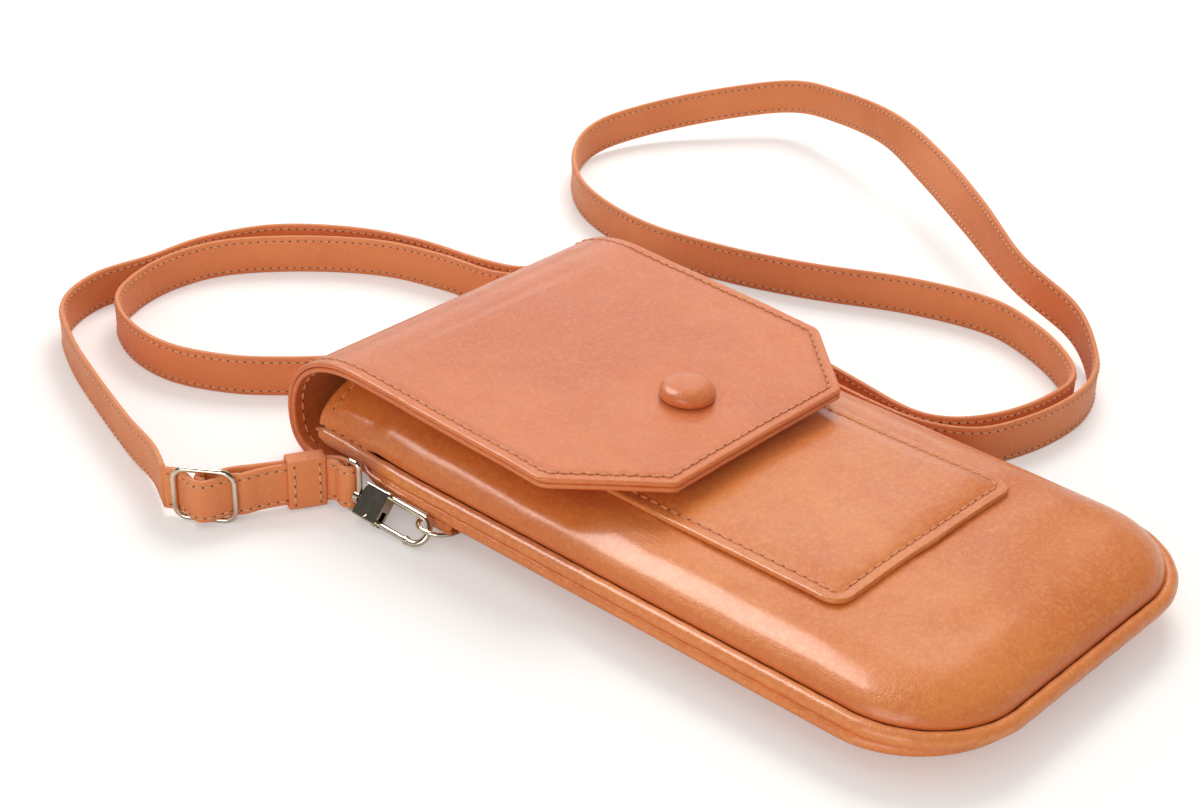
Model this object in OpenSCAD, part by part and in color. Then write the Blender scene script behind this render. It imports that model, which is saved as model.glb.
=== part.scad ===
// Phone pouch: a padded leather body with a card pocket and a wide flap, on a crossbody strap.
// The pouch lies on its back. +Y points to the fold of the flap, +X to the pouch's right side, +Z up.
// The origin is on the table, below the middle of the closed pouch.

/* [Body] */
// Width of the front panel between the seam grooves
seam_w = 90; // [80:1:100]
// Length of the front panel from its bottom seam to the mouth
body_l = 166; // [150:1:180]
// Radius of the two bottom corners in the seam
corner_r = 21.3; // [15:0.1:26]
// Height of the front panel's edge above the table
seam_z = 10.4; // [9.6:0.1:11.2]
// Rise of the front panel from its edge to its flat top
front_rise = 6; // [5:0.1:7]
// Distance over which the front panel rises
front_round = 12; // [9:0.5:14]
// Extra height in the middle of the front panel
front_crown = 1.4; // [0.5:0.1:1.8]
// Extra height of the front panel at the mouth
mouth_lift = 4; // [2:0.1:4.5]
// Thickness of the leather panels
leather_t = 1.3; // [1:0.1:1.5]
// Thickness of the lining
lining_t = 0.5; // [0.4:0.1:0.7]
// Gap between a panel and its lining
lining_gap = 0.15; // [0.1:0.05:0.3]
// How far the back panel bulges out past the seam groove
belly_out = 3.1; // [2:0.1:3.6]
// Height at which the back panel bulges out furthest
belly_z = 6.4; // [6:0.1:6.8]
// Half width of the flat part of the back
belly_flat = 27; // [20:1:32]

/* [Welt] */
// Radius of the covered piping in the seam
welt_r = 1.8; // [1.4:0.1:1.9]
// Distance of the piping's centre outside the seam groove
welt_out = 1.2; // [0.9:0.1:1.4]
// Height of the piping's centre above the table
welt_z = 8.95; // [8.6:0.05:9.2]
// Distance from the mouth to the ends of the piping
welt_stop = 15.5; // [10:0.5:20]

/* [Card pocket] */
// Width of the card pocket
pocket_w = 59; // [56:0.5:64]
// Length of the card pocket
pocket_l = 79.7; // [70:0.1:84]
// Distance from the bottom seam to the card pocket
pocket_up = 35.8; // [30:0.1:40]
// Corner radius of the card pocket
pocket_r = 4; // [2:0.5:8]
// Slack of the pocket over the cards
pocket_slack = 0.7; // [0.5:0.1:1]

/* [Flap] */
// Distance of the flap's side edges inside the seam grooves
flap_in = 0.6; // [0.5:0.1:3]
// Length of the flap from its front edge to the mouth
flap_l = 87.1; // [80:0.1:90]
// Width of the flap's straight front edge
flap_front_w = 53.2; // [40:0.1:60]
// Length of the clipped corners along the flap
flap_clip = 19.6; // [12:0.1:24]
// Thickness of each of the flap's two layers
flap_t = 1.15; // [1:0.05:1.25]
// Gap between the two layers
flap_gap = 0.1; // [0.05:0.05:0.15]
// Height of the flap's top at its front edge
flap_front_z = 24.7; // [24.5:0.1:25.2]
// Height of the flap's top at the mouth
flap_rear_z = 27.7; // [27.4:0.1:28]
// Extra height along the middle of the flap
flap_crown = 0.6; // [0:0.1:0.8]
// How far the fold reaches past the mouth
fold_reach = 9.1; // [8:0.1:11]
// Length of the flap's sewn part under the body
flap_back_l = 32; // [26:1:36]

/* [Snap] */
// Diameter of the covered button
button_d = 12; // [10:0.1:14]
// Height of the covered button
button_h = 3.4; // [2.8:0.1:4]
// Distance of the snap behind the flap's front edge
snap_back = 19.9; // [16:0.1:24]
// Diameter of the socket's bore
socket_bore = 4.4; // [4:0.1:5]
// Play between the stud's head and the socket
snap_play = 0.3; // [0.25:0.05:0.4]

/* [Snap hooks] */
// Wire radius of the hooks
hook_r = 0.7; // [0.6:0.05:0.75]
// Distance between the centres of a hook's two sides
hook_w = 6; // [5.6:0.1:6.4]
// Length of a hook from its nose to the end of its plate
hook_l = 18.5; // [18:0.1:19]
// Length of the hook's plate
plate_l = 6.5; // [6:0.1:7]
// Thickness of the hook's plate
plate_t = 2.8; // [2.7:0.1:3]
// Angle by which a hook's inner side is raised
hook_roll = 50; // [48:1:52]
// Angle by which a hook's eye end is raised
hook_pitch = 4; // [3:0.5:5]
// Radius of the gate's pin
pin_r = 0.6; // [0.5:0.05:0.65]
// Running clearance of the gate on its pin
pin_play = 0.05; // [0.03:0.01:0.06]

/* [Rings and tabs] */
// Wire radius of the D-rings
ring_r = 0.5; // [0.45:0.05:0.55]
// Length of a D-ring's bar between the centres of its legs
ring_w = 8.4; // [8:0.1:8.6]
// Depth of a D-ring between the centres of its bar and its bow
ring_depth = 5.1; // [5.1:0.1:5.3]
// Distance of the tabs behind the middle of the closed pouch
tab_y = 38.4; // [38.2:0.1:38.6]
// Thickness of a tab's leather
tab_t = 0.75; // [0.6:0.05:0.8]

/* [Strap] */
// Width of the strap
strap_w = 10; // [9:0.5:10.5]
// Thickness of the strap
strap_t = 1.25; // [1:0.05:1.3]
// Length of the slider
slider_l = 14.2; // [13.6:0.1:15]
// Wire radius of the slider
slider_r = 0.6; // [0.5:0.05:0.65]
// Length of the keeper along the strap
keeper_l = 8.2; // [7:0.1:9]
// Thickness of the keeper's leather
keeper_t = 1; // [0.8:0.1:1.1]
// Wire radius of the hook's eye
eye_r = 0.65; // [0.55:0.05:0.7]

/* [Hidden] */

LEATHER = "#e08a55";
STRAP_LEATHER = "#cd7a50";
LINING = "#c9a284";
METAL = "#e6d6b4";

// Small sizes that several pieces share
seat_gap = 0.1;
overrun = 1;
round_sides = 48;
wire_sides = 32;

// Places along the pouch, worked out from its sizes
closed_l = welt_out + welt_r + body_l + fold_reach;
bottom_y = welt_out + welt_r - closed_l / 2;
mouth_y = bottom_y + body_l;
fold_y = mouth_y + fold_reach;
half_w = seam_w / 2;
flap_half = half_w - flap_in;
flap_front_half = flap_front_w / 2;
flap_front_y = mouth_y - flap_l;
snap_y = flap_front_y + snap_back;
flap_stack = 2 * flap_t + flap_gap;

// Columns and rows of the panel grids
panel_cols = 18;
corner_rows = 5;
straight_rows = 9;
flap_cols = 12;
flap_rows = 12;
fold_rows = 14;

function smooth(t) = let (c = max(0, min(1, t))) c * c * (3 - 2 * c);
function round_profile(t) = let (c = 1 - max(0, min(1, t))) sqrt(max(0, 1 - c * c));
function mix(a, b, t) = a + (b - a) * t;

// A closed solid between two grids of points that match row by row
module layer(top, under) {
    rows = len(top);
    cols = len(top[0]);
    count = rows * cols;
    points = concat([for (row = top) each row], [for (row = under) each row]);
    top_faces = [
        for (i = [0 : rows - 2], j = [0 : cols - 2])
            let (a = i * cols + j, b = a + 1, c = a + cols, d = c + 1)
                each [[a, c, d], [a, d, b]]
    ];
    under_faces = [for (face = top_faces) [for (k = [2, 1, 0]) face[k] + count]];
    rim = concat(
        [for (j = [0 : cols - 1]) j],
        [for (i = [1 : rows - 1]) i * cols + cols - 1],
        [for (j = [cols - 2 : -1 : 0]) (rows - 1) * cols + j],
        [for (i = [rows - 2 : -1 : 1]) i * cols]
    );
    rim_faces = [
        for (k = [0 : len(rim) - 1])
            let (a = rim[k], b = rim[(k + 1) % len(rim)])
                each [[a, b, b + count], [a, b + count, a + count]]
    ];
    polyhedron(points, concat(top_faces, under_faces, rim_faces));
}

// A closed tube through rings of points that match one by one
module tube(rings) {
    sides = len(rings[0]);
    last = (len(rings) - 1) * sides;
    walls = [
        for (i = [0 : len(rings) - 2], j = [0 : sides - 1])
            let (a = i * sides + j, b = i * sides + (j + 1) % sides)
                each [[a, b, b + sides], [a, b + sides, a + sides]]
    ];
    first_cap = [for (j = [1 : sides - 2]) [0, j + 1, j]];
    last_cap = [for (j = [1 : sides - 2]) [last, last + j, last + j + 1]];
    polyhedron([for (ring = rings) each ring], concat(walls, first_cap, last_cap));
}

// The seam outline: its half width at a place along the pouch, and how far a point lies inside it
function outline_half(y, inset) =
    let (r = corner_r - inset, up = min(r, max(0, y - bottom_y - inset)))
        half_w - inset - r + sqrt(max(0, r * r - (r - up) * (r - up)));
function edge_depth(x, y, inset) =
    let (cx = half_w - corner_r, cy = bottom_y + corner_r)
        abs(x) > cx && y < cy
            ? corner_r - inset - norm([abs(x) - cx, y - cy])
            : min(half_w - inset - abs(x), y - bottom_y - inset);

// The rows of a panel grid, close together round the bottom corners
function panel_rows(inset) =
    let (r = corner_r - inset, start = bottom_y + inset)
        concat(
            [for (i = [0 : corner_rows]) start + r * (1 - cos(90 * i / corner_rows))],
            [for (i = [1 : straight_rows]) mix(start + r, mouth_y, i / straight_rows)]
        );

// The edge of the front panel comes down to the back panel beyond the ends of the welt
welt_end_y = mouth_y - welt_stop;
closing_l = 5;
closing_share = 0.08;
sewn_z = seam_z - front_round * closing_share;
function closing(y) = smooth((y - welt_end_y) / closing_l);

// Height of the front panel, where inset and drop are its distances inside the outer face
lift_start_share = 0.22;
function front_z(x, y, inset, drop) =
    let (
        inside = max(0, edge_depth(x, y, inset)),
        across = 1 - pow(x / half_w, 2),
        edge_z = mix(seam_z, sewn_z, closing(y)),
        bottom_in = smooth((y - bottom_y) / (2 * corner_r)),
        lift_from = mouth_y - body_l * lift_start_share * 2,
        mouth_in = smooth((y - lift_from) / (mouth_y - lift_from))
    )
    edge_z + (front_rise - drop) * round_profile(inside / (front_round - inset))
        + across * (front_crown * bottom_in + mouth_lift * mouth_in);

// Height of the back panel: flat in the middle, then up to a full rounded side
back_recess_share = 0.05;
back_corner_share = 1.1;
back_end_share = 0.5;
back_power = 1.3;
bulge_left_share = 0.15;
rim_lean_share = 0.2;
back_r = corner_r * back_corner_share;
back_start_y = bottom_y + corner_r * back_recess_share;
flap_bed_z = flap_stack + seat_gap;
flap_back_y = mouth_y - flap_back_l;
bed_ramp_l = flap_back_l / 2;
function back_half(y) = half_w + belly_out * mix(1, bulge_left_share, closing(y));
function back_outline_half(y, inset) =
    let (r = back_r - inset, up = min(r, max(0, y - back_start_y - inset)))
        back_half(y) - inset - r + sqrt(max(0, r * r - (r - up) * (r - up)));
function back_depth(x, y, inset) =
    let (cx = half_w + belly_out - back_r, cy = back_start_y + back_r)
        abs(x) > cx && y < cy
            ? back_r - inset - norm([abs(x) - cx, y - cy])
            : min(back_half(y) - inset - abs(x), y - back_start_y - inset);
function back_rise_l(y) =
    let (side = half_w + belly_out - belly_flat)
        side * mix(back_end_share, 1, smooth((y - back_start_y) / (2 * back_r)));
function back_z(x, y, inset) =
    let (
        across = 1 - max(0, min(1, back_depth(x, y, inset) / (back_rise_l(y) - inset))),
        profile = 1 - pow(max(0, 1 - pow(across, back_power)), 1 / back_power),
        bed = flap_bed_z * smooth((y - flap_back_y + bed_ramp_l) / bed_ramp_l) + inset,
        rim_z = mix(belly_z, sewn_z - leather_t / 2, closing(y)) + inset * rim_lean_share
    )
    mix(bed, rim_z - seat_gap, profile);

function back_rows(inset) =
    let (r = back_r - inset, start = back_start_y + inset)
        concat(
            [for (i = [0 : corner_rows]) start + r * (1 - cos(90 * i / corner_rows))],
            [for (i = [1 : straight_rows]) mix(start + r, mouth_y, i / straight_rows)]
        );
function front_grid(inset) = [
    for (y = panel_rows(inset)) [
        for (j = [0 : panel_cols])
            let (x = outline_half(y, inset) * sin(180 * j / panel_cols - 90))
                [x, y, front_z(x, y, inset, inset)]
    ]
];
function back_grid(inset) = [
    for (y = back_rows(inset)) [
        for (j = [0 : panel_cols])
            let (x = back_outline_half(y, inset) * sin(180 * j / panel_cols - 90))
                [x, y, back_z(x, y, inset)]
    ]
];
lining_outer = leather_t + lining_gap;
lining_inner = lining_outer + lining_t;

module front_panel() {
    color(LEATHER) layer(front_grid(0), front_grid(leather_t));
}

module front_lining() {
    color(LINING) layer(front_grid(lining_outer), front_grid(lining_inner));
}

module back_panel() {
    color(LEATHER) layer(back_grid(leather_t), back_grid(0));
}

module back_lining() {
    color(LINING) layer(back_grid(lining_inner), back_grid(lining_outer));
}

// The welt runs down one side, round the bottom and up the other side
module welt() {
    welt_half = half_w + welt_out;
    welt_bend = corner_r + welt_out;
    corner_y = bottom_y + corner_r;
    straight_l = welt_end_y - corner_y;
    color(LEATHER) {
        for (side = [-1, 1]) {
            translate([side * welt_half, corner_y, welt_z])
                rotate([-90, 0, 0])
                    cylinder(h = straight_l, r = welt_r, $fn = wire_sides);
            translate([side * welt_half, welt_end_y, welt_z])
                rotate([-90, 0, 0])
                    cylinder(h = 2 * welt_r, r1 = welt_r, r2 = welt_r / 4, $fn = wire_sides);
            translate([side * (half_w - corner_r), corner_y, welt_z])
                rotate([0, 0, side > 0 ? 270 : 180])
                    rotate_extrude(angle = 90, $fn = round_sides)
                        translate([welt_bend, 0])
                            circle(r = welt_r, $fn = wire_sides);
        }
        translate([corner_r - half_w, bottom_y - welt_out, welt_z])
            rotate([0, 90, 0])
                cylinder(h = seam_w - 2 * corner_r, r = welt_r, $fn = wire_sides);
    }
}

// The card pocket lies on the front panel and stands off it a little in the middle
pocket_y = bottom_y + pocket_up;
pocket_half = pocket_w / 2;
pocket_cols = 10;
pocket_rows = 9;
pocket_seam_l = 2 * pocket_r;
function pocket_half_at(y) =
    let (up = min(pocket_r, y - pocket_y))
        pocket_half - pocket_r + sqrt(max(0, pocket_r * pocket_r - pow(pocket_r - up, 2)));
function pocket_slack_at(x, y) =
    pocket_slack * smooth((pocket_half - abs(x)) / pocket_seam_l)
        * smooth((y - pocket_y) / pocket_seam_l);
function pocket_row_list() = concat(
    [for (i = [0 : 3]) pocket_y + pocket_r * (1 - cos(30 * i))],
    [for (i = [1 : pocket_rows]) mix(pocket_y + pocket_r, pocket_y + pocket_l, i / pocket_rows)]
);
function pocket_grid(up) = [
    for (y = pocket_row_list()) [
        for (j = [0 : pocket_cols])
            let (x = pocket_half_at(y) * mix(-1, 1, j / pocket_cols))
                [x, y, front_z(x, y, 0, 0) + seat_gap + pocket_slack_at(x, y) + up]
    ]
];
pocket_top_z = front_z(0, snap_y, 0, 0) + seat_gap + pocket_slack + leather_t;

module card_pocket() {
    color(LEATHER)
        difference() {
            layer(pocket_grid(leather_t), pocket_grid(0));
            on_pocket()
                translate([0, 0, -leather_t - overrun])
                    cylinder(h = leather_t + 2 * overrun, r = rivet_r + seat_gap, $fn = wire_sides);
        }
}

// The flap's top: clipped corners in front, a gentle rise and then the fold
clip_round = 3;
function soft_min(a, b, k) = let (h = max(0, min(1, (b - a) / (2 * k) + 1 / 2)))
    mix(b, a, h) - k * h * (1 - h);
function flap_half_at(y) =
    soft_min(flap_half, mix(flap_front_half, flap_half, (y - flap_front_y) / flap_clip), clip_round);
fold_start_y = mouth_y - flap_stack * 6;
function flap_top_z(x, y) =
    mix(flap_front_z, flap_rear_z, (y - flap_front_y) / (fold_start_y - flap_front_y))
        + flap_crown * (1 - pow(x / flap_half, 2)) * smooth((mouth_y - y) / flap_clip);
function flap_row_y(i) =
    i < 5
        ? flap_front_y + flap_clip * i / 4
        : mix(flap_front_y + flap_clip, fold_start_y, (i - 4) / (flap_rows - 4));

// The fold's outer line, seen from the side: two curves that meet at its furthest point
fold_mid_z = 11;
fold_end_y = mouth_y - flap_stack;
fold_top_reach_share = 0.65;
fold_nose_share = 0.4;
fold_belly_share = 0.68;
fold_foot_share = 0.75;
function cubic(p, t) =
    pow(1 - t, 3) * p[0] + 3 * pow(1 - t, 2) * t * p[1] + 3 * (1 - t) * t * t * p[2] + pow(t, 3) * p[3];
function cubic_slope(p, t) =
    3 * pow(1 - t, 2) * (p[1] - p[0]) + 6 * (1 - t) * t * (p[2] - p[1]) + 3 * t * t * (p[3] - p[2]);
fold_upper = [
    [fold_start_y, flap_rear_z],
    [mix(fold_start_y, fold_y, fold_top_reach_share), flap_rear_z + flap_t / 2],
    [fold_y, mix(flap_rear_z, fold_mid_z, fold_nose_share)],
    [fold_y, fold_mid_z]
];
fold_lower = [
    [fold_y, fold_mid_z],
    [fold_y, fold_mid_z * (1 - fold_belly_share)],
    [mix(fold_end_y, fold_y, fold_foot_share), 0],
    [fold_end_y, 0]
];
function fold_line(t) = t < 1 ? cubic(fold_upper, t) : cubic(fold_lower, t - 1);
function fold_normal(t) =
    let (d = t < 1 ? cubic_slope(fold_upper, t) : cubic_slope(fold_lower, t - 1))
        [-d[1], d[0]] / norm(d);
function fold_point(t, depth) = fold_line(t) - fold_normal(t) * depth;
hinge_t = 0.35;

function flap_grid(depth) = concat(
    [
        for (i = [0 : flap_rows])
            let (y = flap_row_y(i), w = flap_half_at(y))
                [for (j = [0 : flap_cols]) let (x = mix(-w, w, j / flap_cols)) [x, y, flap_top_z(x, y) - depth]]
    ],
    [
        for (i = [1 : 3])
            let (p = fold_point(hinge_t * i / 3, depth))
                [for (j = [0 : flap_cols]) [mix(-flap_half, flap_half, j / flap_cols), p[0], p[1]]]
    ]
);
function fold_grid(depth) = [
    for (i = [0 : fold_rows])
        let (p = fold_point(mix(hinge_t, 2, i / fold_rows), depth))
            [for (j = [0 : 1]) [mix(-flap_half, flap_half, j), p[0], p[1]]]
];

module flap_layer(depth, colour, hole_r) {
    color(colour)
        difference() {
            layer(flap_grid(depth), flap_grid(depth + flap_t));
            on_flap()
                translate([0, 0, -flap_stack - overrun])
                    cylinder(h = flap_stack + 2 * overrun, r = hole_r, $fn = wire_sides);
        }
}

module flap_outer() {
    flap_layer(0, LEATHER, rivet_r + seat_gap);
}

module flap_lining() {
    flap_layer(flap_t + flap_gap, LEATHER, rivet_r + seat_gap);
}

module fold_outer() {
    color(LEATHER) layer(fold_grid(0), fold_grid(flap_t));
}

module fold_lining() {
    color(LEATHER) layer(fold_grid(flap_t + flap_gap), fold_grid(flap_stack));
}

// The flap's sewn part under the body, whose side edges curl up along the body
back_cols = 14;
back_row_count = 6;
function flap_back_grid(up) = [
    for (i = [0 : back_row_count])
        let (y = mix(flap_back_y, fold_end_y, i / back_row_count))
            [
                for (j = [0 : back_cols])
                    let (
                        x = flap_half * sin(180 * j / back_cols - 90),
                        lift = back_z(x, y, 0) - seat_gap - flap_stack
                    )
                        [x, y, max(0, lift) * smooth((fold_end_y - y) / (flap_back_l / 2)) + up]
            ]
];

module flap_back() {
    color(LEATHER) layer(flap_back_grid(flap_t), flap_back_grid(0));
}

module flap_back_lining() {
    color(LEATHER) layer(flap_back_grid(flap_stack), flap_back_grid(flap_t + flap_gap));
}

// The snap: a covered cap riveted through the flap to a socket, over a stud riveted to the pocket
rivet_r = 1.5;
cap_t = 0.4;
cover_t = 0.8;
socket_t = 0.5;
socket_lip_share = 0.7;
socket_h = 2.4;
button_z = flap_top_z(0, snap_y);
lining_z = button_z - flap_stack;
button_r = button_d / 2;
cap_r = button_r - cover_t - seat_gap;
cap_h = button_h - cover_t - seat_gap;
stud_r = socket_bore / 2 - snap_play;
stud_neck_share = 0.8;
stud_flange_r = cap_r;
stud_h = lining_z - pocket_top_z - socket_t - 2 * snap_play;

// The snap stands square on the slope of the flap and of the pocket
function slope_of(low_z, high_z, run) = atan((high_z - low_z) / run);
flap_tilt = slope_of(flap_front_z, flap_rear_z, fold_start_y - flap_front_y);
pocket_tilt = slope_of(front_z(0, snap_y - button_d / 2, 0, 0), front_z(0, snap_y + button_d / 2, 0, 0), button_d);
module on_flap() {
    translate([0, snap_y, button_z])
        rotate([flap_tilt, 0, 0])
            children();
}
module on_pocket() {
    translate([0, snap_y, pocket_top_z])
        rotate([pocket_tilt, 0, 0])
            children();
}

// A low dome on a short straight rim, r wide and h high
dome_rim_share = 0.3;
dome_power_share = 0.6;
module dome(r, h) {
    rotate_extrude($fn = round_sides)
        polygon(concat(
            [[0, 0], [r, 0]],
            [
                for (a = [0 : 9 : 81])
                    [r * pow(cos(a), dome_power_share), h * mix(dome_rim_share, 1, sin(a))]
            ],
            [[0, h]]
        ));
}

module button_cover() {
    color(LEATHER)
        on_flap()
            translate([0, 0, seat_gap])
                difference() {
                    dome(button_r, button_h);
                    translate([0, 0, -overrun])
                        cylinder(h = cap_h - cap_h / 3 + overrun, r = cap_r + seat_gap, $fn = round_sides);
                }
}

module snap_cap() {
    color(METAL)
        on_flap() {
            translate([0, 0, 2 * seat_gap])
                cylinder(h = cap_h / 2, r = cap_r, $fn = round_sides);
            translate([0, 0, -flap_stack - seat_gap])
                cylinder(h = flap_stack + 3 * seat_gap, r = rivet_r, $fn = wire_sides);
        }
}

module snap_socket() {
    color(METAL)
        on_flap()
            translate([0, 0, -flap_stack - seat_gap - socket_h])
                difference() {
                    union() {
                        translate([0, 0, socket_h - socket_t])
                            cylinder(h = socket_t, r = cap_r, $fn = round_sides);
                        cylinder(h = socket_h, r = cap_r * socket_lip_share, $fn = round_sides);
                    }
                    translate([0, 0, -overrun])
                        cylinder(h = socket_h - socket_t + overrun, r = socket_bore / 2, $fn = round_sides);
                }
}

module snap_stud() {
    color(METAL)
        on_pocket()
            translate([0, 0, seat_gap]) {
                cylinder(h = cap_t, r = stud_flange_r, $fn = round_sides);
                cylinder(h = stud_h, r = stud_r * stud_neck_share, $fn = round_sides);
                translate([0, 0, stud_h - stud_r])
                    dome(stud_r, stud_r);
            }
}

module snap_post() {
    color(METAL)
        on_pocket()
            translate([0, 0, -leather_t - pocket_slack / 2 - seat_gap]) {
                cylinder(h = pocket_slack / 2, r = cap_r, $fn = round_sides);
                cylinder(h = leather_t + pocket_slack / 2 + 2 * seat_gap, r = rivet_r, $fn = wire_sides);
            }
}

// Where the hooks and rings lie: a ring stands out from its tab and its hook's nose hangs in it
ring_play = 0.05;
tab_r = ring_r + ring_play + tab_t;
ring_lay = -8;
ring_bar_x = half_w + belly_out - tab_r + seat_gap;
ring_bar_z = 3.9;
ring_bend = ring_w / 2;
tab_w = ring_w - 2 * ring_r - 4 * seat_gap;
tab_l = 10;
hook_half = hook_w / 2;
plate_y = hook_l - plate_l;
plate_half = hook_half + hook_r;
hook_side_gap = 0.55;
collar_out = 2 * seat_gap;
plate_drop = (plate_half + collar_out) * sin(hook_roll) + (plate_t / 2 + collar_out) * cos(hook_roll);
hook_x = half_w + belly_out + hook_side_gap + hook_r + hook_half * cos(hook_roll);
hook_y = tab_y - seat_gap * 3;
hook_z = plate_drop + seat_gap - plate_y * sin(hook_pitch);
hook_yaw = 3;
module at_hook(side) {
    mirror([side > 0 ? 1 : 0, 0, 0])
        translate([-hook_x, hook_y, hook_z])
            children();
}
module hook_tilt() {
    rotate([hook_pitch, 0, hook_yaw])
        rotate([0, -hook_roll, 0])
            children();
}

// A tab: a leather strip folded round the ring's bar and sewn under the body
module tab(side) {
    color(LEATHER)
        mirror([side < 0 ? 1 : 0, 0, 0])
            translate([ring_bar_x, tab_y + tab_w / 2, ring_bar_z])
                rotate([90, 0, 0])
                    linear_extrude(tab_w)
                        difference() {
                            union() {
                                circle(r = tab_r, $fn = wire_sides);
                                rotate(180 + tab_slope)
                                    translate([0, -tab_r * tab_low_share])
                                        square([tab_l, 2 * tab_t]);
                            }
                            circle(r = ring_r + ring_play, $fn = wire_sides);
                        }
}
tab_slope = 18;
tab_low_share = 0.6;

// A D-ring: a straight bar between two small corners, and a wide bow
ring_corner_r = 2 * ring_r;
module d_ring(side) {
    bow_r = ring_depth - ring_corner_r;
    lay = side > 0 ? ring_lay : 180 - ring_lay;
    color(METAL)
        translate([side * ring_bar_x, tab_y, ring_bar_z])
            rotate([0, lay, 0]) {
                translate([0, ring_corner_r - ring_bend, 0])
                    rotate([-90, 0, 0])
                        cylinder(h = ring_w - 2 * ring_corner_r, r = ring_r, $fn = wire_sides);
                translate([ring_depth, bow_r - ring_bend, 0])
                    rotate([-90, 0, 0])
                        cylinder(h = ring_w - 2 * bow_r, r = ring_r, $fn = wire_sides);
                for (end = [-1, 1]) {
                    translate([ring_corner_r, end * (ring_bend - ring_corner_r), 0])
                        rotate([0, 0, end > 0 ? 90 : 180])
                            quarter_wire(ring_corner_r, ring_r);
                    translate([ring_corner_r, end * (ring_bend - bow_r), 0])
                        rotate([0, 0, end > 0 ? 0 : 270])
                            quarter_wire(bow_r, ring_r);
                }
            }
}
module quarter_wire(bend_r, wire_r) {
    rotate_extrude(angle = 90, $fn = round_sides)
        translate([bend_r, 0])
            circle(r = wire_r, $fn = wire_sides);
}

// A snap hook, drawn with its nose at the origin and its outer side towards -X
knuckle_y = hook_half + 2 * hook_r;
knuckle_l = hook_r;
knuckle_r = hook_r + 2 * seat_gap;
gate_r = hook_r - seat_gap;
slot_h = 2 * gate_r + 4 * seat_gap;
lug_r = 1.2;
pin_x = hook_r - hook_half;
pin_y = hook_l - 2 * lug_r;
lug_t = 0.7;
slot_in = 0.4;
stem_r = 0.7;
stem_l = 1.8;
plate_edge = 0.3;
collar_l = 0.8;
pin_seat = 0.02;

module plate_block(length, grow) {
    translate([-plate_half, 0, -plate_t / 2])
        rotate([-90, 0, 0])
            mirror([0, 1, 0])
                linear_extrude(length)
                    offset(r = plate_edge + grow, $fn = wire_sides / 2)
                        translate([plate_edge, plate_edge])
                            square([2 * (plate_half - plate_edge), plate_t - 2 * plate_edge]);
}

module hook_body() {
    difference() {
        union() {
            translate([0, plate_y, 0]) plate_block(plate_l, 0);
            translate([0, plate_y, 0]) plate_block(collar_l, collar_out);
        }
        translate([-plate_half - overrun, plate_y - overrun, -slot_h / 2])
            cube([plate_half + overrun - slot_in, plate_l + overrun - lug_r / 2, slot_h]);
        translate([pin_x, pin_y, -plate_t])
            cylinder(h = 2 * plate_t, r = pin_r + pin_seat, $fn = wire_sides);
    }
    translate([0, hook_half, 0])
        rotate([0, 0, 180])
            rotate_extrude(angle = 180, $fn = round_sides)
                translate([hook_half, 0])
                    circle(r = hook_r, $fn = wire_sides);
    translate([hook_half, hook_half, 0])
        rotate([-90, 0, 0])
            cylinder(h = plate_y - hook_half + plate_edge, r = hook_r, $fn = wire_sides);
    translate([-hook_half, hook_half, 0])
        rotate([-90, 0, 0])
            cylinder(h = knuckle_y - hook_half, r = hook_r, $fn = wire_sides);
    translate([-hook_half, knuckle_y - knuckle_l, 0])
        rotate([-90, 0, 0])
            cylinder(h = knuckle_l, r = knuckle_r, $fn = wire_sides);
    translate([0, hook_l - plate_edge, 0])
        rotate([-90, 0, 0])
            cylinder(h = stem_l + plate_edge, r = stem_r, $fn = wire_sides);
}

module hook(side) {
    color(METAL) at_hook(side) hook_tilt() hook_body();
}

// The gate: a rod on a lug that turns on the pin inside the plate's slot
module gate(side) {
    color(METAL)
        at_hook(side)
            hook_tilt()
                difference() {
                    union() {
                        translate([pin_x, pin_y, -gate_r])
                            cylinder(h = lug_t, r = lug_r, $fn = wire_sides);
                        translate([-hook_half - gate_r, pin_y - 2 * lug_r, -gate_r])
                            cube([2 * gate_r, 2 * lug_r, lug_t]);
                        translate([-hook_half, knuckle_y + seat_gap, 0])
                            rotate([-90, 0, 0])
                                cylinder(
                                    h = pin_y - knuckle_y - lug_r - 2 * seat_gap,
                                    r = gate_r,
                                    $fn = wire_sides
                                );
                    }
                    translate([pin_x, pin_y, -plate_t])
                        cylinder(h = 2 * plate_t, r = pin_r + pin_play, $fn = wire_sides);
                }
}

module gate_pin(side) {
    head_t = seat_gap * 2;
    color(METAL)
        at_hook(side)
            hook_tilt()
                translate([pin_x, pin_y, 0]) {
                    translate([0, 0, -plate_t / 2])
                        cylinder(h = plate_t, r = pin_r, $fn = wire_sides);
                    for (face = [-1, 1])
                        translate([0, 0, face * (plate_t + head_t) / 2 - head_t / 2])
                            cylinder(h = head_t, r = pin_r * 1.9, $fn = wire_sides);
                }
}

// The gate's spring is wound round the pin beside the lug
spring_r = 0.2;
module gate_spring(side) {
    color(METAL)
        at_hook(side)
            hook_tilt()
                translate([pin_x, pin_y, lug_t - gate_r + spring_r + seat_gap])
                    rotate_extrude($fn = wire_sides)
                        translate([pin_r + pin_play + spring_r, 0])
                            circle(r = spring_r, $fn = round_sides / 3);
}

// The eye turns on the hook's stem and stands on edge, as high as the strap
strap_low = 1.5;
eye_low = strap_low - 2 * eye_r - seat_gap;
eye_h = strap_w + 4 * eye_r + 4 * seat_gap;
eye_gap = 3 * seat_gap;
eye_w = 4 * eye_r + strap_t + 2 * eye_gap;
boss_r = stem_r + eye_r;
boss_play = 0.2;
eye_y = hook_l + eye_gap + eye_w / 2;
eye_bar_y = eye_y + eye_w / 2 - eye_r;
stem_z = hook_l * sin(hook_pitch);

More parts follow.
